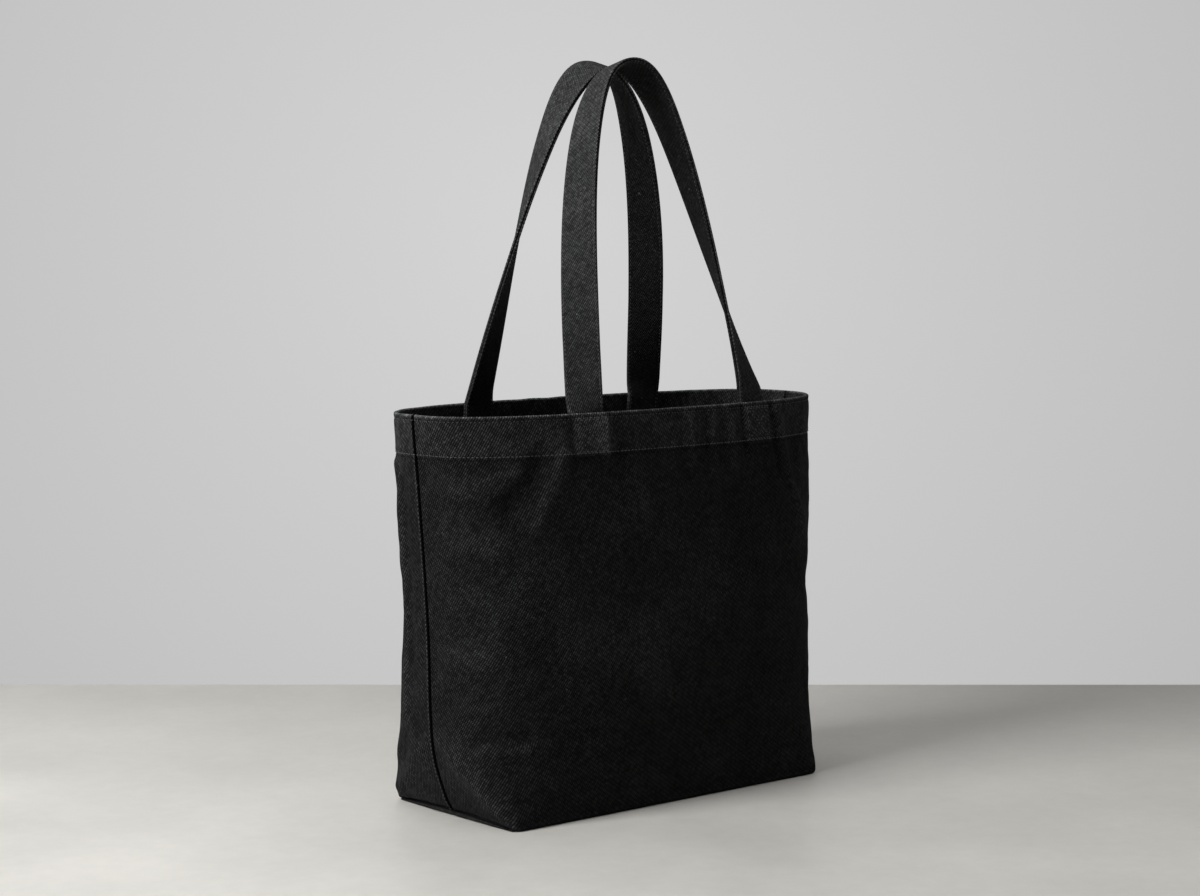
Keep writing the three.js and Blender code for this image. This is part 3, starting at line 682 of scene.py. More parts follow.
def panel_columns(cloth):
    """Distances round the cloth of a panel's columns, between its two seam rolls."""
    wall, straps = cloth.wall, cloth.straps
    half = straps.width / 2 + 3 * MM
    left, right = (foot_along(wall, straps, end) for end in (LEFT, RIGHT))
    far_corner, far_seam = wall.half_girth - wall.corner, wall.half_girth - SEAM_ROLL
    # each stretch: from, to, its number of columns and how closely they pack towards its ends
    stretches = (
        (SEAM_ROLL, wall.corner, 38, 1.6),
        (wall.corner, left - half, 32, 1.1),
        (left - half, left + half, 28, 1),
        (left + half, right - half, 70, 1),
        (right - half, right + half, 28, 1),
        (right + half, far_corner, 26, 1.1),
        (far_corner, far_seam, 38, 1.6),
    )
    return np.concatenate([*(packed(*stretch)[:-1] for stretch in stretches), [far_seam]])


def panel_rows(cloth):
    """Heights of a panel's rows, from just under the rounded rim down to the base's edge."""
    above, below = cloth.hem_bottom + 2.4 * MM, cloth.hem_bottom - 2.4 * MM
    parts = (
        np.linspace(cloth.body.height - cloth.hem_half, above, 22)[:-1],
        np.linspace(above, below, 9)[:-1],
        np.linspace(below, WALL_BREAK, 96)[:-1],
        np.linspace(WALL_BREAK, 0, 14),
    )
    return np.concatenate(parts)


def make_panel(cloth, name, side, material):
    """One panel: its wall from seam to seam, rolled in at both seams and rounded over at the rim,
    and its half of the base."""
    wall, body = cloth.wall, cloth.body
    middle_columns = panel_columns(cloth)
    turn = np.linspace(math.pi / 2, 0, ROLL_STEPS + 1)[:-1]
    roll_in = SEAM_ROLL - (SEAM_ROLL - SEAM_HALF_GAP) * np.sin(turn)
    columns = np.concatenate([roll_in, middle_columns, (wall.half_girth - roll_in)[::-1]])
    drop = np.concatenate([1 - np.cos(turn), np.zeros(len(middle_columns)), (1 - np.cos(turn))[::-1]])

    # rows: first the rounded rim, from its top outwards and down, then the wall
    rim_turn = np.linspace(math.radians(RIM_TURN), 0, RIM_STEPS + 1)[:-1]
    rim_heights = body.height - cloth.hem_half + cloth.hem_half * np.sin(rim_turn)
    heights = np.concatenate([rim_heights, panel_rows(cloth)])
    narrowing = np.concatenate([np.cos(rim_turn), np.ones(len(heights) - RIM_STEPS)])

    along, z = np.meshgrid(columns, heights)
    drop, narrowing = np.meshgrid(drop, narrowing)
    # along the ends of the base the wall stops at the corner seam, a little above the floor
    lip = cloth.lip(wall.corner - cloth.from_seam(along))
    z = z + lip * (1 - z / LIP_FADES_BY) * (z < LIP_FADES_BY)

    in_hem = smooth_step(z, cloth.hem_bottom - 0.9 * MM, cloth.hem_bottom - 0.1 * MM)
    outer = cloth.outer_face + cloth.relief(side, along, z)
    inner = cloth.inner_face + (cloth.hem_inner_face - cloth.inner_face) * in_hem
    middle = (cloth.outer_face + cloth.hem_inner_face) / 2
    outer = middle + (outer - middle) * narrowing
    inner = middle + (inner - middle) * narrowing
    # the seam roll: below the hem one layer turns in, in the hem both faces turn towards each other
    outer = outer - SEAM_ROLL * drop * narrowing
    inner = inner - (SEAM_ROLL - body.cloth) * drop * (1 - in_hem)
    inner = inner + HEM_SEAM_TURN * drop * in_hem * narrowing
    inner_along = along + np.sign(wall.half_girth / 2 - along) * body.cloth * drop * (1 - in_hem)

    # the bottom edge: rounded under towards the base, or turned in at the corner seam
    radius = body.edge_round
    gone = np.clip(1 - (z - lip) / radius, 0, 1)
    tuck = radius * (1 - np.sqrt(1 - gone**2))
    points_out, _ = cloth.place(side, along, z, outer - tuck)
    points_in, _ = cloth.place(
        side, inner_along, np.maximum(z, body.cloth), inner - tuck * INNER_TUCK
    )
    points_out[..., 2] = np.maximum(points_out[..., 2], 0)

    rows, count = along.shape
    first = int(np.argmin(np.abs(columns - wall.corner)))
    over_base = slice(first, count - first)
    grid = np.arange(rows * count).reshape(rows, count)
    base_points, base_faces, base_uv, base_fade_and_shade = base_half(
        cloth, side, points_out[-1, over_base], grid[-1, over_base], rows * count
    )
    faces = quads(grid) + base_faces
    yarn = wall.table(wall.yarns[..., None], along, z)[..., 0]
    uv = np.stack([-side * yarn, z], axis=-1).reshape(-1, 2)
    points_all_out = np.vstack([points_out.reshape(-1, 3), base_points[0]])
    points_all_in = np.vstack([points_in.reshape(-1, 3), base_points[1]])
    uv_all = np.vstack([uv, np.stack([base_uv[0] * -side, base_uv[1]], axis=-1)])

    worn_and_highlit, painted_and_faded = panel_marks(cloth, side, along, z, lip)
    worn_and_highlit = np.concatenate([worn_and_highlit.ravel(), np.zeros_like(base_fade_and_shade)])
    painted_and_faded = np.concatenate([painted_and_faded.ravel(), base_fade_and_shade])
    # the turned-in hem is rubbed most on its inside, where hands go in and out
    inside_too = np.concatenate([(INSIDE_HEM_FADE * in_hem).ravel(), np.zeros_like(base_fade_and_shade)])
    fade_and_light_marks = np.concatenate([painted_and_faded, painted_and_faded + inside_too])
    return solid_cloth(name, points_all_out, points_all_in, faces, uv_all, material, worn_and_highlit, fade_and_light_marks)


def panel_marks(cloth, side, along, z, lip):
    """How rubbed a panel is along its edges and folds, with a painted highlight along the rim, and how
    much paler or darker than new, with painted shade along its lowest edge.
    """
    seam = cloth.from_seam(along)
    # painted shade along the lowest edge: a fine line along front and back, a wider one at each end
    at_end = smooth_step(cloth.wall.corner - seam, 0, 6 * MM)
    lower_edge = 1 - smooth_step(z - lip, (0.6 + 0.4 * at_end) * MM, (1.8 + 0.6 * at_end) * MM)
    # the rim's fold edge: rubbed paler, with a painted highlight along it
    worn_and_highlit = RIM_WEAR_AND_HIGHLIGHT * bell(cloth.body.height - z, 1.2 * MM)
    worn_and_highlit = worn_and_highlit + SEAM_WEAR * bell(seam - 2.2 * MM, 1.2 * MM) * (side == BACK)
    worn_and_highlit = worn_and_highlit + EDGE_WEAR * bell(z - 4 * MM, 2.5 * MM) * (1 - lower_edge)
    worn_and_highlit = worn_and_highlit + np.clip(cloth.folds(side, along, z) / FOLD_WEAR_HEIGHT, 0, FOLD_WEAR)
    painted_and_faded = cloth.fade(along, z) * (1 - lower_edge) - LOWER_EDGE_SHADE * lower_edge
    return np.clip(worn_and_highlit, 0, RIM_WEAR_AND_HIGHLIGHT), painted_and_faded


def quads(grid):
    """Faces between the rows of a grid of point numbers."""
    corners = [grid[:-1, :-1], grid[1:, :-1], grid[1:, 1:], grid[:-1, 1:]]
    return np.stack(corners, axis=-1).reshape(-1, 4).tolist()


def base_half(cloth, side, edge_points, edge, start):
    """Half of the base, from the wall's bottom edge in to the seam under the middle, and the band along
    each end where it bulges out and up to the corner seam. Gives the outer and inner points, the faces,
    the cloth places and how much paler or darker each point is, with the band's painted shade."""
    body, wall = cloth.body, cloth.wall
    x_edge, y_edge = edge_points[:, 0], edge_points[:, 1]
    shares = packed(0, 1, BASE_STEPS, 1.3)[1:]
    ease = smooth_step(shares, 0, 0.12)[:, None]
    straight = x_edge / np.abs(x_edge).max() * (body.base_length / 2 - BAND_REACH)
    x = x_edge * (1 - ease) + straight * ease
    y = y_edge + (side * SEAM_HALF_GAP - y_edge) * shares[:, None]
    # the seam under the middle turns in, as a side seam does
    near_seam = np.clip(1 - np.abs(y) / SEAM_ROLL, 0, 1)
    up = BASE_SEAM_TURN * (1 - np.sqrt(1 - near_seam**2))
    outer = np.stack([x, y, up], axis=-1)
    inner = outer + np.array([0, 0, body.cloth])
    numbers = start + np.arange(x.size).reshape(x.shape)
    faces = quads(np.vstack([edge[None], numbers]))
    parts = [(outer, inner, x + wall.half_girth / 2, np.abs(y) - np.abs(y_edge), np.zeros(x.shape))]
    start += x.size
    for column, end in ((0, LEFT), (-1, RIGHT)):
        parts.append(end_band(cloth, side, end, x[:, column], y[:, column], y_edge[column]))
        band_numbers = start + np.arange(len(y) * BAND_STEPS).reshape(len(y), BAND_STEPS)
        start += band_numbers.size
        strip = np.hstack([numbers[:, column][:, None], band_numbers])
        if end == LEFT:
            strip = strip[:, ::-1]
        faces += quads(strip)
        # at the corner the band closes onto the wall's bottom edge
        first_row, corner = strip[0].tolist(), int(edge[column])
        faces += [[corner, b, a] for a, b in zip(first_row[1:], first_row[:-1])]
    outers, inners, alongs, ups, fade_and_light_marks = zip(*parts)
    points = [np.vstack([part.reshape(-1, 3) for part in layer]) for layer in (outers, inners)]
    alongs, ups, fade_and_light_marks = (np.concatenate([part.ravel() for part in row]) for row in (alongs, ups, fade_and_light_marks))
    return points, faces, (alongs, ups), fade_and_light_marks


def end_band(cloth, side, end, x, y, edge_y):
    """The band along one end of the base, out from the base's last column of points and up to the corner
    seam: outer points, inner points, cloth places along and up, and how much paler or darker it is,
    painted shade included, with a row for each point of the column."""
    turn = np.radians(np.linspace(*BAND_TURN, BAND_STEPS + 1))[1:]
    share = (np.sin(turn) + 1)[None] / 2
    lip = cloth.lip(np.abs(edge_y) - np.abs(y))
    along = np.abs(y) if end == LEFT else cloth.wall.half_girth - np.abs(y)
    stand, _ = cloth.place(side, along, lip + cloth.body.edge_round, cloth.outer_face)
    reach = np.minimum(BAND_SHARE * lip, BAND_REACH)
    centre = np.abs(stand[:, 0]) + BAND_STAND - reach
    out = end * (centre[:, None] + reach[:, None] * np.cos(turn))
    band_x = out + (x[:, None] - out) * (1 - smooth_step(share, 0, 0.25)) * BAND_DRAWN_IN
    high = (lip - BAND_GAP)[:, None] * share
    outer = np.stack([band_x, np.broadcast_to(y[:, None], band_x.shape), high], axis=-1)
    inward = np.stack([-end * np.cos(turn), np.zeros_like(turn), -np.sin(turn)], axis=-1)
    inner = outer + cloth.body.cloth * inward
    inner[..., 2] = np.maximum(inner[..., 2], high * 0.4)
    # painted shadow under the wall's lower edge along the band's top, and painted shade at its foot
    dark = BAND_TOP_SHADE * smooth_step(share, 0.74, 0.86)
    dark = dark + BAND_FOOT_SHADE * (1 - smooth_step(share, 0.05, 0.2))
    fade = np.broadcast_to(BAND_FADE - dark, band_x.shape)
    return outer, inner, np.broadcast_to(along[:, None], band_x.shape), high - 30 * MM, fade


def solid_cloth(name, outer, inner, faces, uv, material, worn_and_highlit, fade_and_light_marks):
    """Cloth with a thickness from its outer and inner points; free edges get a narrow wall."""
    count = len(outer)
    edges = dict.fromkeys(pair for face in faces for pair in zip(face, [*face[1:], face[0]]))
    walls = [(p, p + count, q + count, q) for p, q in edges if (q, p) not in edges]
    back = [[p + count for p in reversed(face)] for face in faces]
    return new_mesh(
        name,
        np.vstack([outer, inner]),
        faces + back + walls,
        np.vstack([uv, uv]),
        material,
        wear=np.concatenate([worn_and_highlit, worn_and_highlit]),
        fade=fade_and_light_marks,
    )


# ---- straps and tapes ----------------------------------------------------------------------------

# How each strap hangs. Seen from the front, each leg is a Bezier curve from its foot, 0 up and 1 to
# its own side of the middle, to the crown, 1 up and CROWN_ASIDE across. "leaves" is the handle that
# it sets off towards, and "flat" how far from the crown the other handle lies, level with it. "lean"
# is the power by which it tips in towards the other strap. Its width turns about the vertical from
# foot_turn to crown_turn, in degrees, by the power "twist".
StrapLeg = namedtuple("StrapLeg", "leaves flat lean foot_turn crown_turn twist")
STRAP_LEGS = {
    (FRONT, LEFT): StrapLeg((-0.82, 0.44), 0.55, 1.35, 28, 97, 0.9),
    (FRONT, RIGHT): StrapLeg((0.82, 0.40), 0.58, 1.5, 174, 75, 0.62),
    (BACK, LEFT): StrapLeg((-0.85, 0.46), 0.58, 1.3, 14, 101, 1.15),
    (BACK, RIGHT): StrapLeg((0.60, 0.36), 0.56, 2.4, 162, 77, 1),
}
CROWN_ASIDE = {FRONT: -0.08, BACK: -0.03}
CROWN_SWAY = 0.2  # half the stretch, as a share of half the span, in which the two turns meet
FOOT_LEAN = 0.98  # how much of the foot's distance out is left where the strap leaves the rim
LEG_STEPS = 60
STRAP_STEP = 1.5 * MM
CROWN_BANK = 0.24  # at the crown each strap's inner edge hangs lower: rise for each unit of width
CROWN_BANK_RISE = (0.78, 0.97)  # shares of the strap's rise between which that banking sets in
SEWN_GAP = 0.3 * MM  # between a sewn end and the hem
SEWN_STEPS = 24
EASINGS = 30  # times that the bend just above the rim is smoothed
EASED_FROM = (-1 * MM, 6 * MM)  # above the rim, where that smoothing sets in
EDGE_SLIT = 0.9 * MM
STITCH_DIP = 0.4 * MM
CROWN_FADE = 0.55  # of the outer face, from nothing at the rim
# painted shade on a strap's inner faces and in the slits at its edges
INNER_FACE_SHADE = -0.4
SLIT_SHADE = -0.85
TAPE_STEP = 3 * MM


def folded_outline(width, thickness, row, dip, slit):
    """A strap's section as across and out: two folded halves with a slit between them at each
    edge, and a dip under each row of stitches."""
    half, thick = width / 2, thickness / 2
    flat = np.linspace(-(half - thick / 2), half - thick / 2, 25)
    top = np.stack([flat, thick - dip * bell(np.abs(flat) - half + row, 0.9 * MM)], axis=1)
    angles = np.linspace(math.pi / 2, -math.pi / 2, 9)[1:-1]
    lobe = np.abs(np.sin(2 * angles)) ** 0.5
    nose_x = half - thick / 2 + thick / 2 * np.where(angles == 0, 0, lobe) - slit * (angles == 0)
    rise = np.sign(angles) * (1 - (1 - np.abs(angles) / (math.pi / 2)) ** 1.4)
    nose = np.stack([nose_x, thick * rise], axis=1)
    return np.vstack([top, nose, top[::-1] * (1, -1), nose[::-1] * (-1, 1)])


def ribbon(name, centres, widths, outs, outline, material, wear_from=None, fade_and_light_marks=None):
    """Sweeps a section along a line. Each centre has the direction of its width and its face.
    The marks of how much paler or darker, with their painted shade, have a row for each centre, with a
    number for each point of the section."""
    count = len(outline)
    across, out = outline[:, 0], outline[:, 1]
    rings = (
        centres[:, None]
        + widths[:, None] * across[None, :, None]
        + outs[:, None] * out[None, :, None]
    )
    grid = np.arange(rings.shape[0] * count).reshape(-1, count)
    faces = quads(np.hstack([grid, grid[:, :1]]))
    faces += [grid[0].tolist(), grid[-1][::-1].tolist()]
    v, u = np.meshgrid(run_of(centres), across, indexing="ij")
    uv = np.stack([u, v], axis=-1).reshape(-1, 2)
    worn_and_highlit = np.zeros(count) if wear_from is None else smooth_step(abs(across), wear_from, across.max())
    marks = {"wear": np.tile(worn_and_highlit, len(centres))}
    if fade_and_light_marks is not None:
        marks["fade"] = fade_and_light_marks.ravel()
    return new_mesh(name, rings.reshape(-1, 3), faces, uv, material, **marks)


def evenly_spaced(places, step):
    """Positions along a line of points, about a step apart, counted in points."""
    run = run_of(places)
    steps = max(2, round(run[-1] / step))
    return np.interp(np.linspace(0, run[-1], steps + 1), run, np.arange(len(places)))


def pick(values, positions):
    """Reads rows of values at positions counted in rows."""
    count = np.arange(len(values))
    return np.stack([np.interp(positions, count, column) for column in values.T], axis=1)


def leg_line(side, end):
    """One leg from its foot to the crown, as rows of across, outward, up and turn."""
    leg, crown = STRAP_LEGS[side, end], CROWN_ASIDE[side]
    t = np.linspace(0, 1, LEG_STEPS + 1)[:, None]
    foot, top = np.array([end, 0]), np.array([crown, 1])
    leaves, level = np.array(leg.leaves), np.array([crown + end * leg.flat, 1])
    rising = (1 - t) ** 3 * foot + 3 * (1 - t) ** 2 * t * leaves
    across, up = (rising + 3 * (1 - t) * t**2 * level + t**3 * top).T
    outward = FOOT_LEAN * (1 - up) ** leg.lean
    turn = leg.foot_turn + (leg.crown_turn - leg.foot_turn) * up**leg.twist
    return np.stack([across, outward, up, turn], axis=1)


def hanging_line(side):
    """A strap's middle line from its left foot to its right one, as rows of across, outward, up
    and turn. Near the crown the turns of the two legs meet in a gentle sway."""
    left, right = leg_line(side, LEFT), leg_line(side, RIGHT)
    crown, turns = CROWN_ASIDE[side], (left[-1, 3], right[-1, 3])
    line = np.vstack([left, right[-2::-1]])
    share = smooth_step(line[:, 0], crown - CROWN_SWAY, crown + CROWN_SWAY)
    line[:, 3] += turns[0] + (turns[1] - turns[0]) * share - np.where(line[:, 0] <= crown, *turns)
    return line


def strap_line(cloth, side):
    """Centres, width directions and face directions of one whole strap, with its sewn-down ends."""
    wall, straps, body = cloth.wall, cloth.straps, cloth.body
    plane = cloth.hem_inner_face - SEWN_GAP - straps.thickness / 2
    feet = [foot_along(wall, straps, end) for end in (LEFT, RIGHT)]
    rim, out = wall.at(side, feet, body.height)
    stand = rim + out * plane
    middle_x, half_span = stand[:, 0].mean(), (stand[1, 0] - stand[0, 0]) / 2
    foot_y = np.abs(stand[:, 1].mean())
    crown_y = (straps.width + straps.crown_gap) / 2
    rise = CROWN_HEIGHT - straps.thickness / 2 - CROWN_BANK * straps.width / 3 - STUB_HEIGHT
    line = hanging_line(side)
    places = np.stack(
        [
            middle_x + line[:, 0] * half_span,
            side * (crown_y + line[:, 1] * (foot_y - crown_y)),
            STUB_HEIGHT + line[:, 2] * rise,
        ],
        axis=1,
    )
    angle = np.radians(line[:, 3])
    banked = [STUB_HEIGHT + share * rise for share in CROWN_BANK_RISE]
    near_crown = smooth_step(places[:, 2], *banked)
    widths = np.stack([np.cos(angle), side * np.sin(angle), CROWN_BANK * near_crown], axis=1)

    # the sewn ends lie against the inside of the hem
    ends = []
    heights = np.linspace(body.height - straps.sewn_end, body.height - 0.5 * MM, SEWN_STEPS)
    for end, foot in zip((LEFT, RIGHT), feet):
        low, _ = cloth.place(side, foot - 1 * MM, heights, plane)
        high, _ = cloth.place(side, foot + 1 * MM, heights, plane)
        ends.append(((low + high) / 2, unit(high - low) * -end))
    (left_c, left_w), (right_c, right_w) = ends
    centres = np.vstack([left_c, places, right_c[::-1]])
    widths = np.vstack([left_w, widths, right_w[::-1]])
    positions = evenly_spaced(centres, STRAP_STEP)
    centres, widths = pick(centres, positions), pick(widths, positions)
    # ease the bend and twist just above the rim, without moving what is sewn down
    free = smooth_step(centres[:, 2] - body.height, *EASED_FROM)[:, None]
    for _ in range(EASINGS):
        for values in (centres, widths):
            eased = values.copy()
            eased[1:-1] = (values[:-2] + 2 * values[1:-1] + values[2:]) / 4
            values += (eased - values) * free
    tangents = unit(np.gradient(centres, axis=0))
    widths = unit(widths - (widths * tangents).sum(1, keepdims=True) * tangents)
    outs = np.cross(tangents, widths) * side
    return centres, widths, outs


def make_strap(cloth, name, side, material):
    """One strap as a single folded band, from one sewn end over the crown to the other."""
    straps = cloth.straps
    centres, widths, outs = strap_line(cloth, side)
    row = cloth.stitches.strap_row
    outline = folded_outline(straps.width, straps.thickness, row, STITCH_DIP, EDGE_SLIT)
    # the outer face is the paler, most where hands carry it; the inner faces and the slits at the edges
    # are painted darker as painted shade
    across, out = outline[:, 0], outline[:, 1]
    outward = smooth_step(out, -straps.thickness / 4, straps.thickness / 4)
    carried = smooth_step(centres[:, 2], cloth.body.height, CROWN_HEIGHT)[:, None]
    fade_and_light_marks = INNER_FACE_SHADE + (CROWN_FADE * carried - INNER_FACE_SHADE) * outward
    in_slit = (np.abs(out) < 0.3 * MM) & (np.abs(across) > straps.width / 4)
    fade_and_light_marks = np.where(in_slit, SLIT_SHADE, fade_and_light_marks)
    return ribbon(name, centres, widths, outs, outline, material, straps.width / 2 - 1.4 * MM, fade_and_light_marks)


def bend_with_strap(obj, side):
    """Bakes the piece's place into its mesh, the same way for either side."""
    if side == FRONT:
        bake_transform(obj)
    else:
        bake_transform(obj)


# ---- node trees ----------------------------------------------------------------------------------


class Tree:
    """Adds nodes to a node tree in a few words."""

    def __init__(self, tree):
        self.tree = tree
        tree.nodes.clear()

    def add(self, kind, inputs=None, **settings):
        """A new node with these settings and inputs."""
        made = self.tree.nodes.new(kind)
        for key, value in settings.items():
            setattr(made, key, value)
        self.feed(made, inputs or {})
        return made

    def feed(self, node, inputs):
        """Sets each input to a number or colour, or joins it to another node's output."""
        for key, value in inputs.items():
            if isinstance(value, bpy.types.NodeSocket):
                self.tree.links.new(value, node.inputs[key])
            else:
                node.inputs[key].default_value = value

    def math(self, operation, *values):
        """The result of a sum."""
        return self.add("ShaderNodeMath", dict(enumerate(values)), operation=operation).outputs[0]


# ---- stitches ------------------------------------------------------------------------------------

STITCH_INPUTS = (
    ("Rows", "Geometry", None),
    ("Pitch", "Float", 3.7 * MM),
    ("Visible Length", "Float", 3.0 * MM),
    ("Thread", "Float", 0.85 * MM),
    ("Arch", "Float", 0.8),
    ("Lean", "Float", 0.12),
    ("Seed", "Int", 0),
    ("Material", "Material", None),
)
ARCH_DEPTH = -4  # a stitch of unit length reaches half a unit each way, so this lowers its tips by 1


def stitch_tree():
    """Lays a slightly arched stitch at every pitch along the rows that it is given."""
    t = Tree(bpy.data.node_groups.new("Stitch Rows", "GeometryNodeTree"))
    for name, kind, value in STITCH_INPUTS:
        socket = t.tree.interface.new_socket(name, in_out="INPUT", socket_type=f"NodeSocket{kind}")
        if value is not None:
            socket.default_value = value
    t.tree.interface.new_socket("Stitches", in_out="OUTPUT", socket_type="NodeSocketGeometry")
    given = t.add("NodeGroupInput").outputs
    curve = t.add("GeometryNodeMeshToCurve", {"Mesh": given["Rows"]})
    steps = {"Curve": curve.outputs["Curve"], "Length": given["Pitch"]}
    spots = t.add("GeometryNodeCurveToPoints", steps, mode="LENGTH")

    # one stitch of unit size, arched so that its ends go down into the cloth
    bead = t.add("GeometryNodeMeshUVSphere", {"Segments": 8, "Rings": 6, "Radius": 0.5})
    upright = t.add(
        "GeometryNodeTransform",
        {"Geometry": bead.outputs["Mesh"], "Rotation": (0, math.pi / 2, 0)},
    )
    position = t.add("GeometryNodeInputPosition").outputs["Position"]
    from_middle = t.add("ShaderNodeSeparateXYZ", {"Vector": position}).outputs["X"]
    drop = t.math("MULTIPLY", t.math("MULTIPLY", from_middle, from_middle), ARCH_DEPTH)
    drop = t.math("MULTIPLY", drop, given["Arch"])
    down = t.add("ShaderNodeCombineXYZ", {"Z": drop})
    arched = t.add(
        "GeometryNodeSetPosition",
        {"Geometry": upright.outputs["Geometry"], "Offset": down.outputs["Vector"]},
    )

    # each stitch lies along its row, faces out of the cloth and leans a little
    out = t.add("GeometryNodeInputNamedAttribute", {"Name": "out"}, data_type="FLOAT_VECTOR")
    along = t.add(
        "FunctionNodeAlignRotationToVector", {"Vector": spots.outputs["Tangent"]}, axis="X"
    )
    facing = t.add(
        "FunctionNodeAlignRotationToVector",
        {"Rotation": along.outputs["Rotation"], "Vector": out.outputs["Attribute"]},
        axis="Z",
        pivot_axis="X",
    )
    # a random value's number sockets are its third and fourth inputs and its second output
    least = t.math("MULTIPLY", given["Lean"], -1)
    limits = {2: least, 3: given["Lean"], "Seed": given["Seed"]}
    lean = t.add("FunctionNodeRandomValue", limits, data_type="FLOAT").outputs[1]
    turned = t.add("ShaderNodeCombineXYZ", {"Z": lean})
    turn = t.add("FunctionNodeEulerToRotation", {"Euler": turned.outputs["Vector"]})
    leaning = t.add(
        "FunctionNodeRotateRotation",
        {"Rotation": facing.outputs["Rotation"], "Rotate By": turn.outputs["Rotation"]},
        rotation_space="LOCAL",
    )
    size = t.add(
        "ShaderNodeCombineXYZ",
        {"X": given["Visible Length"], "Y": given["Thread"], "Z": given["Thread"]},
    )
    laid = t.add(
        "GeometryNodeInstanceOnPoints",
        {
            "Points": spots.outputs["Points"],
            "Instance": arched.outputs["Geometry"],
            "Rotation": leaning.outputs["Rotation"],
            "Scale": size.outputs["Vector"],
        },
    )
    real = t.add("GeometryNodeRealizeInstances", {"Geometry": laid.outputs["Instances"]})
    smooth = t.add("GeometryNodeSetShadeSmooth", {"Geometry": real.outputs["Geometry"]})
    paint = t.add(
        "GeometryNodeSetMaterial",
        {"Geometry": smooth.outputs["Geometry"], "Material": given["Material"]},
    )
    t.add("NodeGroupOutput", {"Stitches": paint.outputs["Geometry"]})
    return t.tree


def make_stitches(scene, name, rows, seed):
    """A piece of plain mesh stitches along rows, each given as its points and outward directions.
    No two pieces share a seed, so their stitches lean in different ways."""
    tree = bpy.data.node_groups.get("Stitch Rows") or stitch_tree()
    points = np.vstack([row[0] for row in rows])
    outs = np.vstack([row[1] for row in rows])
    edges, start = [], 0
    for row, _ in rows:
        edges += [(start + i, start + i + 1) for i in range(len(row) - 1)]
        start += len(row)
    mesh = bpy.data.meshes.new(name)
    mesh.from_pydata(points.tolist(), edges, [])
    mesh.attributes.new("out", "FLOAT_VECTOR", "POINT").data.foreach_set("vector", outs.ravel())
    obj = bpy.data.objects.new(name, mesh)
    scene.collection.objects.link(obj)
    stitches = scene.tote_stitches
    values = {
        "Pitch": stitches.pitch,
        "Visible Length": stitches.visible,
        "Thread": stitches.thread,
        "Seed": stitches.seed + seed,
        "Material": thread_material(scene),
    }
    modifier = obj.modifiers.new("Stitches", "NODES")
    modifier.node_group = tree
    for item in tree.interface.items_tree:
        if item.in_out == "INPUT" and item.name in values:
            modifier[item.identifier] = values[item.name]
    evaluated = obj.evaluated_get(bpy.context.evaluated_depsgraph_get())
    made = bpy.data.meshes.new_from_object(evaluated)
    if not made.polygons:
        raise RuntimeError(f"{name}: the rows gave no stitches")
    obj.modifiers.remove(modifier)
    obj.data = made
    return obj


# ---- materials -----------------------------------------------------------------------------------

STRAP_WEAVE = 0.88  # the strap cloth's ribs, as a share of the body cloth's
FLOAT_LENGTH = 0.75  # of a float, as a share of the step from rib to rib up the cloth
FLOAT_STAGGER = 0.37  # how far each rib's floats lie past the last one's, as a share of a float
TAPE_RIB = 1.1 * MM
# How many bumps of each kind of unevenness lie in a metre.
DYE_SCALE = 22
SWAY_SCALE = 130
YARN_SCALE = 210
LINT_SCALE = 260
FIBRE_SCALE = 1500
TAPE_FIBRE_SCALE = 1800
THREAD_TONE_SCALE = 90
THREAD_FIBRE_SCALE = 2600
MOTTLE_SCALE = 5
SCREED_GRAIN_SCALE = 60


class Finish(Tree):
    """Makes a material in a few words."""

    def __init__(self, name):
        self.material = bpy.data.materials.new(name)
        self.material.use_nodes = True
        super().__init__(self.material.node_tree)
        self.shader = self.add("ShaderNodeBsdfPrincipled")
        self.output = self.add("ShaderNodeOutputMaterial", {"Surface": self.shader.outputs["BSDF"]})

    def cloth_place(self):
        """The place on the flat cloth, then its distance along and up."""
        uv = self.add("ShaderNodeUVMap", uv_map="cloth").outputs["UV"]
        parts = self.add("ShaderNodeSeparateXYZ", {"Vector": uv}).outputs
        return uv, parts["X"], parts["Y"]

    def noise(self, vector, scale, detail=2.0, roughness=0.5):
        """Soft random values about 0.5."""
        inputs = {"Vector": vector, "Scale": scale, "Detail": detail, "Roughness": roughness}
        return self.add("ShaderNodeTexNoise", inputs).outputs["Fac"]

    def between(self, value, low, high, to_low=0.0, to_high=1.0):
        """Stretches a range of values onto another and clips it."""
        inputs = {"Value": value, "From Min": low, "From Max": high, "To Min": to_low, "To Max": to_high}
        return self.add("ShaderNodeMapRange", inputs).outputs["Result"]

    def ribs(self, place):
        """Ribs with their crowns at whole numbers of the place, from 0 to 1."""
        wave = self.math("COSINE", self.math("MULTIPLY", place, 2 * math.pi))
        return self.math("MULTIPLY_ADD", wave, 0.5, 0.5)

    def brighten(self, base, factor):
        """A colour times a factor that varies over the surface."""
        inputs = {0: (*base,), "Scale": factor}
        return self.add("ShaderNodeVectorMath", inputs, operation="SCALE").outputs["Vector"]

    def bump(self, height, distance):
        """A surface direction tilted by a height."""
        inputs = {"Height": height, "Strength": 1.0, "Distance": distance}
        return self.add("ShaderNodeBump", inputs).outputs["Normal"]


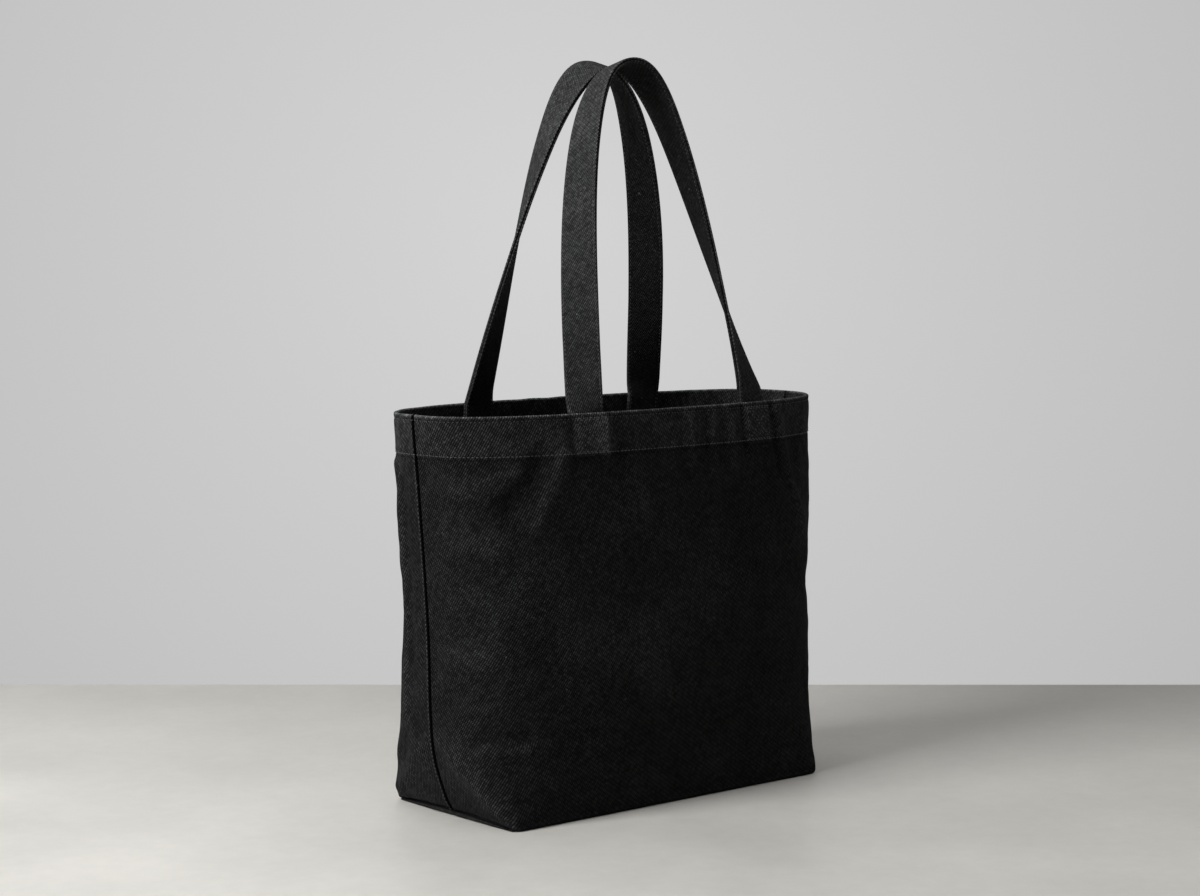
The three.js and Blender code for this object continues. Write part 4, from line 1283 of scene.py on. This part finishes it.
def twill_material(name, colour_value, across, up, depth, wear_gain):
    """Heavy black twill: slanting ribs of short floats of yarn, uneven dye, rubbed edges with a painted
    highlight on the rim, painted light and shade, lint.
    """
    if name in bpy.data.materials:
        return bpy.data.materials[name]
    m = Finish(name)
    uv, u, v = m.cloth_place()

    # the slanting ribs, numbered, each made of floats that are staggered from rib to rib
    sway = m.math("MULTIPLY_ADD", m.noise(uv, SWAY_SCALE, 2), 0.5, -0.25)
    rib_place = m.math("SUBTRACT", m.math("DIVIDE", u, across), m.math("DIVIDE", v, up))
    rib_place = m.math("ADD", rib_place, sway)
    rib_number = m.math("ROUND", rib_place)
    float_place = m.math("DIVIDE", v, up * FLOAT_LENGTH)
    float_place = m.math("MULTIPLY_ADD", rib_number, FLOAT_STAGGER, float_place)
    cell = m.add("ShaderNodeCombineXYZ", {"X": rib_number, "Y": m.math("ROUND", float_place)})
    place = {"Vector": cell.outputs["Vector"]}
    chance = m.add("ShaderNodeTexWhiteNoise", place, noise_dimensions="2D").outputs["Value"]
    fibre = m.noise(uv, FIBRE_SCALE, 3, 0.7)
    yarn = m.math("MULTIPLY_ADD", m.ribs(float_place), 0.62, 0.38)
    weave = m.math("MULTIPLY_ADD", fibre, 0.45, m.math("MULTIPLY", m.ribs(rib_place), yarn))

    # colour: paler on each float, every float a little different, uneven dye, rubbed edges with the rim's
    # painted highlight, the painted light and shade of the cloth's marks, and lint
    worn_and_highlit = m.add("ShaderNodeAttribute", attribute_name="wear").outputs["Fac"]
    worn_and_highlit = m.math("MULTIPLY", worn_and_highlit, m.between(fibre, 0.35, 0.65, 0.4, 1.0))
    painted_and_faded = m.add("ShaderNodeAttribute", attribute_name="fade").outputs["Fac"]
    shade = m.between(weave, 0.2, 1.1, 1 - 0.7 * depth, 1 + 0.9 * depth)
    for factor in (
        m.math("MULTIPLY_ADD", chance, 0.8 * depth, 1 - 0.4 * depth),
        m.between(m.noise(uv, DYE_SCALE, 3), 0.3, 0.7, 0.86, 1.14),
        m.between(m.noise(uv, YARN_SCALE, 3, 0.6), 0.3, 0.7, 0.74, 1.26),
        m.math("MULTIPLY_ADD", worn_and_highlit, wear_gain, 1.0),
        m.math("ADD", painted_and_faded, 1.0),
    ):
        shade = m.math("MULTIPLY", shade, factor)
    lint = m.between(m.noise(uv, LINT_SCALE, 1, 0.3), 0.775, 0.80)
    shade = m.math("MULTIPLY_ADD", lint, 2.5, shade)
    finish = {
        "Base Color": m.brighten(colour_value, shade),
        "Roughness": m.between(fibre, 0.3, 0.7, 0.86, 0.98),
        "Normal": m.bump(weave, 0.38 * MM * depth),
        "Specular IOR Level": 0.03,
        "Sheen Weight": 0.01,
        "Sheen Roughness": 0.5,
    }
    m.feed(m.shader, finish)
    return m.material


def canvas_material(scene):
    """The body cloth."""
    finish = scene.tote_finish
    return twill_material("black_twill", finish.canvas, finish.twill_across, finish.twill_up, 1.05, 1.6)


def strap_material(scene):
    """The strap cloth: the same twill, folded."""
    finish = scene.tote_finish
    across, up = finish.twill_across * STRAP_WEAVE, finish.twill_up * STRAP_WEAVE
    return twill_material("strap_twill", finish.strap, across, up, 0.85, 1.3)


def tape_material(scene):
    """Plain woven tape with fine ribs across it."""
    if "woven_tape" in bpy.data.materials:
        return bpy.data.materials["woven_tape"]
    m = Finish("woven_tape")
    uv, _, v = m.cloth_place()
    fibre = m.noise(uv, TAPE_FIBRE_SCALE, 3, 0.7)
    weave = m.math("ADD", m.ribs(m.math("DIVIDE", v, TAPE_RIB)), fibre)
    finish = {
        "Base Color": m.brighten(scene.tote_finish.tape, m.between(weave, 0.4, 1.6, 0.7, 1.3)),
        "Roughness": m.between(fibre, 0.3, 0.7, 0.8, 0.95),
        "Normal": m.bump(weave, 0.15 * MM),
        "Specular IOR Level": 0.3,
        "Sheen Weight": 0.1,
    }
    m.feed(m.shader, finish)
    return m.material


def thread_material(scene):
    """Spun thread with a twist."""
    if "spun_thread" in bpy.data.materials:
        return bpy.data.materials["spun_thread"]
    m = Finish("spun_thread")
    place = m.add("ShaderNodeTexCoord").outputs["Object"]
    fibre = m.noise(place, THREAD_FIBRE_SCALE, 3, 0.7)
    tone = m.between(m.noise(place, THREAD_TONE_SCALE, 1), 0.3, 0.7, 0.8, 1.2)
    shade = m.math("MULTIPLY", m.between(fibre, 0.3, 0.7, 0.7, 1.3), tone)
    finish = {
        "Base Color": m.brighten(scene.tote_finish.thread, shade),
        "Roughness": m.between(fibre, 0.3, 0.7, 0.55, 0.75),
        "Normal": m.bump(fibre, 0.1 * MM),
        "Sheen Weight": 0.15,
    }
    m.feed(m.shader, finish)
    return m.material


# ---- operators -----------------------------------------------------------------------------------

SINK_OF_STRAP_ROW = 0.35 * MM  # of the strap's stitches into its faces
ABOVE_RIM_ROW = -0.1 * MM
ABOVE_HEM_ROW = 0.25 * MM
ABOVE_SEAM_ROW = -0.2 * MM
ABOVE_BOX = -0.05 * MM
LEVEL_ROW_POINTS = 420
SEAM_ROW_POINTS = 300
BOX_LINE_POINTS = 24


class TOTE_OT_make_panels(bpy.types.Operator):
    """Make the front and back panels, with their hem, seams, folds and halves of the base"""

    bl_idname = "tote.make_panels"
    bl_label = "Make Panels"

    def execute(self, context):
        cloth = Cloth(context.scene)
        for side_name, side in SIDES:
            panel = make_panel(cloth, f"{side_name}_cloth", side, canvas_material(context.scene))
            finish_piece(panel, [f"{side_name}_panel"], "bag")
        return {"FINISHED"}


class TOTE_OT_make_straps(bpy.types.Operator):
    """Make the two carrying straps, each one band from sewn end to sewn end"""

    bl_idname = "tote.make_straps"
    bl_label = "Make Straps"

    def execute(self, context):
        cloth = Cloth(context.scene)
        for side_name, side in SIDES:
            strap = make_strap(cloth, f"{side_name}_carrying_strap", side, strap_material(context.scene))
            nodes = [f"{side_name}_strap"] + [f"{side_name}_{end}_strap_end" for end, _ in ENDS]
            finish_piece(strap, nodes)
            bend_with_strap(strap, side)
        return {"FINISHED"}


class TOTE_OT_make_strap_stitching(bpy.types.Operator):
    """Sew a row of stitches along both edges of both faces of each strap"""

    bl_idname = "tote.make_strap_stitching"
    bl_label = "Make Strap Stitching"

    def execute(self, context):
        cloth = Cloth(context.scene)
        straps, stitches = cloth.straps, cloth.stitches
        across = straps.width / 2 - stitches.strap_row
        out = straps.thickness / 2 - SINK_OF_STRAP_ROW
        for side_name, side in SIDES:
            centres, widths, outs = strap_line(cloth, side)
            rows = [
                (centres + widths * edge * across + outs * face * out, outs * face)
                for edge in (-1, 1)
                for face in (-1, 1)
            ]
            made = make_stitches(context.scene, f"{side_name}_strap_stitches", rows, 10 + side)
            nodes = [f"{side_name}_strap_{edge}_stitching" for edge in ("outer", "inner")]
            finish_piece(made, nodes)
            bend_with_strap(made, side)
        return {"FINISHED"}


class TOTE_OT_make_body_stitching(bpy.types.Operator):
    """Sew the rows along the rim, hem and side seams, and the squares that hold the strap ends"""

    bl_idname = "tote.make_body_stitching"
    bl_label = "Make Body Stitching"

    def level_rows(self, cloth, z, above):
        """One row right round the bag on its outside and one on its inside."""
        rows = []
        for _, side in SIDES:
            along = np.linspace(2 * MM, cloth.wall.half_girth - 2 * MM, LEVEL_ROW_POINTS)
            rows.append(cloth.on_outside(side, along, z, above))
            points, outs = cloth.place(side, along, z, cloth.hem_inner_face + 0.25 * MM)
            rows.append((points, -outs))
        return rows

    def box_rows(self, cloth, side, middle):
        """The four sides and two diagonals of the square at a strap's foot."""
        straps, stitches, body = cloth.straps, cloth.stitches, cloth.body
        half = straps.width / 2 - stitches.box_margin
        top, bottom = body.height - stitches.rim_row - 1.5 * MM, cloth.hem_row + 1.2 * MM
        left, right = middle - half, middle + half
        lines = (
            ((left, top), (left, bottom)),
            ((right, top), (right, bottom)),
            ((left, top), (right, top)),
            ((left, bottom), (right, bottom)),
            ((left, top), (right, bottom)),
            ((left, bottom), (right, top)),
        )
        rows = []
        for start, end in lines:
            along, z = np.linspace(start, end, BOX_LINE_POINTS).T
            rows.append(cloth.on_outside(side, along, z, ABOVE_BOX))
        return rows

    def execute(self, context):
        scene = context.scene
        cloth = Cloth(scene)
        stitches, body = cloth.stitches, cloth.body
        heights = (
            ("rim", body.height - stitches.rim_row, ABOVE_RIM_ROW),
            ("hem", cloth.hem_row, ABOVE_HEM_ROW),
        )
        for seed, (row_name, z, above) in enumerate(heights):
            rows = self.level_rows(cloth, z, above)
            made = make_stitches(scene, f"{row_name}_stitches", rows, seed)
            finish_piece(made, [f"{row_name}_stitching"], "bag")
        for end_name, end in ENDS:
            along = stitches.seam_row if end == LEFT else cloth.wall.half_girth - stitches.seam_row
            z = np.linspace(7 * MM, cloth.hem_row - 2 * MM, SEAM_ROW_POINTS)
            row = cloth.on_outside(BACK, along, z, ABOVE_SEAM_ROW)
            made = make_stitches(scene, f"{end_name}_seam_stitches", [row], 4 + end)
            finish_piece(made, [f"{end_name}_seam_stitching"], "bag")
        for side_name, side in SIDES:
            for end_name, end in ENDS:
                rows = self.box_rows(cloth, side, foot_along(cloth.wall, cloth.straps, end))
                name = f"{side_name}_{end_name}_box"
                made = make_stitches(scene, f"{name}_stitches", rows, 6 + side + 3 * end)
                finish_piece(made, [f"{name}_stitching"], "bag")
        return {"FINISHED"}


class TOTE_OT_make_bindings(bpy.types.Operator):
    """Make the tapes that bind the seams inside the bag"""

    bl_idname = "tote.make_bindings"
    bl_label = "Make Bindings"

    def tape(self, context, name, centres, widths, outs, node):
        """One tape along a line."""
        settings = context.scene.tote_tape
        outline = folded_outline(settings.width, settings.thickness, 1.5 * MM, 0.15 * MM, 0.2 * MM)
        made = ribbon(name, centres, widths, outs, outline, tape_material(context.scene))
        finish_piece(made, [node], "bag")

    def execute(self, context):
        cloth = Cloth(context.scene)
        tape = context.scene.tote_tape
        wall = cloth.wall
        plane = cloth.inner_face - tape.clearance - tape.thickness / 2
        for end_name, end in ENDS:
            low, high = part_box(f"{end_name}_seam_binding")
            z = np.linspace(low.z, high.z, round((high.z - low.z) / TAPE_STEP))
            seam = 0 if end == LEFT else wall.half_girth
            centres, outs = wall.at(FRONT, seam, z)
            bow = 0.25 * MM * np.sin(z / (9 * MM))
            centres = centres + outs * (plane - 0.2 * MM) + np.array([0, 1, 0]) * bow[:, None]
            widths = np.tile([0.0, 1.0, 0.0], (len(z), 1))
            self.tape(context, f"{end_name}_seam_tape", centres, widths, outs, f"{end_name}_seam_binding")
            self.flat_tape(context, f"{end_name}_corner_tape", f"{end_name}_corner_binding")
        self.flat_tape(context, "base_seam_tape", "base_seam_binding")
        return {"FINISHED"}

    def flat_tape(self, context, name, node):
        """A tape lying on the base, in the place that the frame gives."""
        low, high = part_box(node)
        size = high - low
        longways = 0 if size.x > size.y else 1
        steps = round(size[longways] / TAPE_STEP)
        centres = np.tile(np.array((low + high) / 2), (steps, 1))
        centres[:, longways] = np.linspace(low[longways], high[longways], steps)
        centres[:, 2] += 0.12 * MM * np.sin(centres[:, longways] / (7 * MM))
        widths = np.zeros((steps, 3))
        widths[:, 1 - longways] = 1
        self.tape(context, name, centres, widths, np.tile([0.0, 0.0, 1.0], (steps, 1)), node)


CAMERA_PLACE = (-1.5186, -1.7671, 0.5276)
CAMERA_DOWN = 5.374  # degrees below level
CAMERA_TURN = 40.413  # degrees to the right of straight ahead
CAMERA_LENS = 78.12
SENSOR_WIDTH = 36
BACKDROP_AHEAD = 2.828  # from the camera, along the floor
BACKDROP_REACH = 6
# painted shade on the backdrop: palest here, darker away from it
BACKDROP_MIDDLE = (-0.06, 0.5)  # of its palest place, to the right and up
BACKDROP_FADES_BY = 1.15
FLOOR_REACH = 9
# painted shade: the floor darkens over this distance before the backdrop
FLOOR_DARKENS_IN = 0.75  # before the backdrop
WORLD_LIGHT = 0.08

Lamp = namedtuple("Lamp", "place aim size power")
LAMPS = {
    "side_lamp": Lamp((-2.4, 0.07, 1.6), (0, 0, 0.2), 1.2, 94),
    "top_lamp": Lamp((-0.3, -0.4, 2.8), (0, 0, 0), 2.4, 16),
    "front_lamp": Lamp((-0.7, -2.6, 0.9), (0, 0, 0.3), 1.2, 3.2),
}


class TOTE_OT_make_stage(bpy.types.Operator):
    """Make the floor, backdrop, lamps and camera"""

    bl_idname = "tote.make_stage"
    bl_label = "Make Stage"

    def camera(self, scene):
        """Stands in front and to the left, a little above the bag, looking slightly down."""
        data = bpy.data.cameras.new("camera")
        data.lens = CAMERA_LENS
        data.sensor_width = SENSOR_WIDTH
        camera = bpy.data.objects.new("camera", data)
        camera.location = CAMERA_PLACE
        camera.rotation_euler = (math.radians(90 - CAMERA_DOWN), 0, math.radians(-CAMERA_TURN))
        scene.collection.objects.link(camera)
        scene.camera = camera
        return camera

    def lamp(self, scene, name, settings):
        """A soft square lamp aimed at a point."""
        data = bpy.data.lights.new(name, "AREA")
        data.shape = "SQUARE"
        data.size = settings.size
        data.energy = settings.power
        lamp = bpy.data.objects.new(name, data)
        lamp.location = settings.place
        aim = Vector(settings.aim) - Vector(settings.place)
        lamp.rotation_euler = aim.to_track_quat("-Z", "Y").to_euler()
        scene.collection.objects.link(lamp)

    def sheet(self, scene, name, corners, material):
        """A flat four-cornered stage piece."""
        mesh = bpy.data.meshes.new(name)
        mesh.from_pydata(corners, [], [(0, 1, 2, 3)])
        mesh.materials.append(material)
        obj = bpy.data.objects.new(name, mesh)
        scene.collection.objects.link(obj)

    def floor_material(self, scene, view, near, far):
        """Smooth pale screed with faint mottling, a soft gloss and painted shade towards the backdrop."""
        m = Finish("pale_screed")
        place = m.add("ShaderNodeTexCoord").outputs["Object"]
        mottle = m.noise(place, MOTTLE_SCALE, 5, 0.6)
        fine = m.noise(place, SCREED_GRAIN_SCALE, 4, 0.6)
        # painted shade: a little darker towards the backdrop
        ahead = m.add("ShaderNodeVectorMath", {0: place, 1: view}, operation="DOT_PRODUCT")
        shade = m.between(mottle, 0.3, 0.7, 0.93, 1.07)
        shade = m.math("MULTIPLY", shade, m.between(fine, 0.3, 0.7, 0.975, 1.025))
        shade = m.math("MULTIPLY", shade, m.between(ahead.outputs["Value"], near, far, 1.0, 0.80))
        finish = {
            "Base Color": m.brighten(scene.tote_finish.floor, shade),
            "Roughness": m.between(mottle, 0.3, 0.7, 0.42, 0.55),
            "Normal": m.bump(fine, 0.2 * MM),
            "Specular IOR Level": 0.35,
        }
        m.feed(m.shader, finish)
        return m.material

    def wall_material(self, scene, middle, reach):
        """A pale backdrop, painted a little darker away from the middle as painted shade, and clear from
        behind.
        """
        m = Finish("backdrop")
        tone = scene.tote_finish.wall
        place = m.add("ShaderNodeTexCoord").outputs["Object"]
        offset = m.add("ShaderNodeVectorMath", {0: place, 1: middle}, operation="DISTANCE")
        # painted shade: darker away from the middle
        fall = m.between(offset.outputs["Value"], 0, reach, 1.0, 0.70)
        shown = m.add("ShaderNodeEmission", {"Color": m.brighten(tone, fall)})
        seen = m.add("ShaderNodeLightPath").outputs
        ray = m.math("MAXIMUM", seen["Is Camera Ray"], seen["Is Glossy Ray"])
        ray = m.math("MAXIMUM", ray, seen["Is Transmission Ray"])
        lit = {0: ray, 1: m.shader.outputs["BSDF"], 2: shown.outputs["Emission"]}
        lit = m.add("ShaderNodeMixShader", lit).outputs["Shader"]
        behind = m.add("ShaderNodeNewGeometry").outputs["Backfacing"]
        clear = m.add("ShaderNodeBsdfTransparent").outputs["BSDF"]
        mix = m.add("ShaderNodeMixShader", {0: behind, 1: lit, 2: clear})
        m.feed(m.shader, {"Base Color": (*tone, 1), "Roughness": 0.9})
        m.feed(m.output, {"Surface": mix.outputs["Shader"]})
        return m.material

    def world(self, scene):
        """Even pale light from all round."""
        world = bpy.data.worlds.new("world")
        world.use_nodes = True
        t = Tree(world.node_tree)
        light = t.add("ShaderNodeBackground", {"Color": (1, 1, 1, 1), "Strength": WORLD_LIGHT})
        shown = t.add("ShaderNodeBackground", {"Color": (*scene.tote_finish.wall, 1), "Strength": 1})
        seen = t.add("ShaderNodeLightPath").outputs["Is Camera Ray"]
        mix = {0: seen, 1: light.outputs["Background"], 2: shown.outputs["Background"]}
        mix = t.add("ShaderNodeMixShader", mix)
        t.add("ShaderNodeOutputWorld", {"Surface": mix.outputs["Shader"]})
        scene.world = world

    def execute(self, context):
        scene = context.scene
        camera = self.camera(scene)
        bpy.context.view_layer.update()
        view = camera.matrix_world.to_quaternion() @ Vector((0, 0, -1))
        ahead = Vector((view.x, view.y, 0)).normalized()
        right = Vector((ahead.y, -ahead.x, 0))
        up = Vector((0, 0, 1))
        foot = Vector((camera.location.x, camera.location.y, 0)) + ahead * BACKDROP_AHEAD
        left_foot, right_foot = foot - right * BACKDROP_REACH, foot + right * BACKDROP_REACH
        rise = up * BACKDROP_REACH
        corners = [left_foot, right_foot, right_foot + rise, left_foot + rise]
        middle = foot + right * BACKDROP_MIDDLE[0] + up * BACKDROP_MIDDLE[1]
        wall = self.wall_material(scene, middle, BACKDROP_FADES_BY)
        self.sheet(scene, "backdrop", corners, wall)
        far = foot.dot(ahead)
        screed = self.floor_material(scene, ahead, far - FLOOR_DARKENS_IN, far)
        floor = [(x * FLOOR_REACH, y * FLOOR_REACH, 0) for x, y in ((-1, -1), (1, -1), (1, 1), (-1, 1))]
        self.sheet(scene, "floor", floor, screed)
        for name, settings in LAMPS.items():
            self.lamp(scene, name, settings)
        self.world(scene)
        scene.view_settings.view_transform = "Standard"
        return {"FINISHED"}


class TOTE_PT_panel(bpy.types.Panel):
    """Lists the bag's pieces, sizes and colours"""

    bl_idname = "TOTE_PT_panel"
    bl_label = "Canvas Tote Bag"
    bl_space_type = "VIEW_3D"
    bl_region_type = "UI"
    bl_category = "Tote"

    def draw(self, context):
        layout = self.layout
        for operator in OPERATORS:
            layout.operator(operator.bl_idname)
        for title, settings in SETTINGS.items():
            box = layout.box()
            box.label(text=title.replace("tote_", "").title())
            group = getattr(context.scene, title)
            for key in settings.__annotations__:
                box.prop(group, key)


OPERATORS = (
    TOTE_OT_make_stage,
    TOTE_OT_make_panels,
    TOTE_OT_make_straps,
    TOTE_OT_make_strap_stitching,
    TOTE_OT_make_body_stitching,
    TOTE_OT_make_bindings,
)
SETTINGS = {
    "tote_body": TOTE_PG_body,
    "tote_straps": TOTE_PG_straps,
    "tote_stitches": TOTE_PG_stitches,
    "tote_tape": TOTE_PG_tape,
    "tote_finish": TOTE_PG_finish,
}
CLASSES = (*SETTINGS.values(), *OPERATORS, TOTE_PT_panel)


def register():
    """Adds the classes, and the sizes and colours, to Blender."""
    for cls in CLASSES:
        bpy.utils.register_class(cls)
    for name, settings in SETTINGS.items():
        setattr(bpy.types.Scene, name, PointerProperty(type=settings))


def unregister():
    """Takes them out again."""
    for name in SETTINGS:
        delattr(bpy.types.Scene, name)
    for cls in reversed(CLASSES):
        bpy.utils.unregister_class(cls)


def main():
    """Makes the bag and its stage."""
    register()
    for operator in OPERATORS:
        group, name = operator.bl_idname.split(".")
        getattr(getattr(bpy.ops, group), name)()


if __name__ == "__main__":
    main()
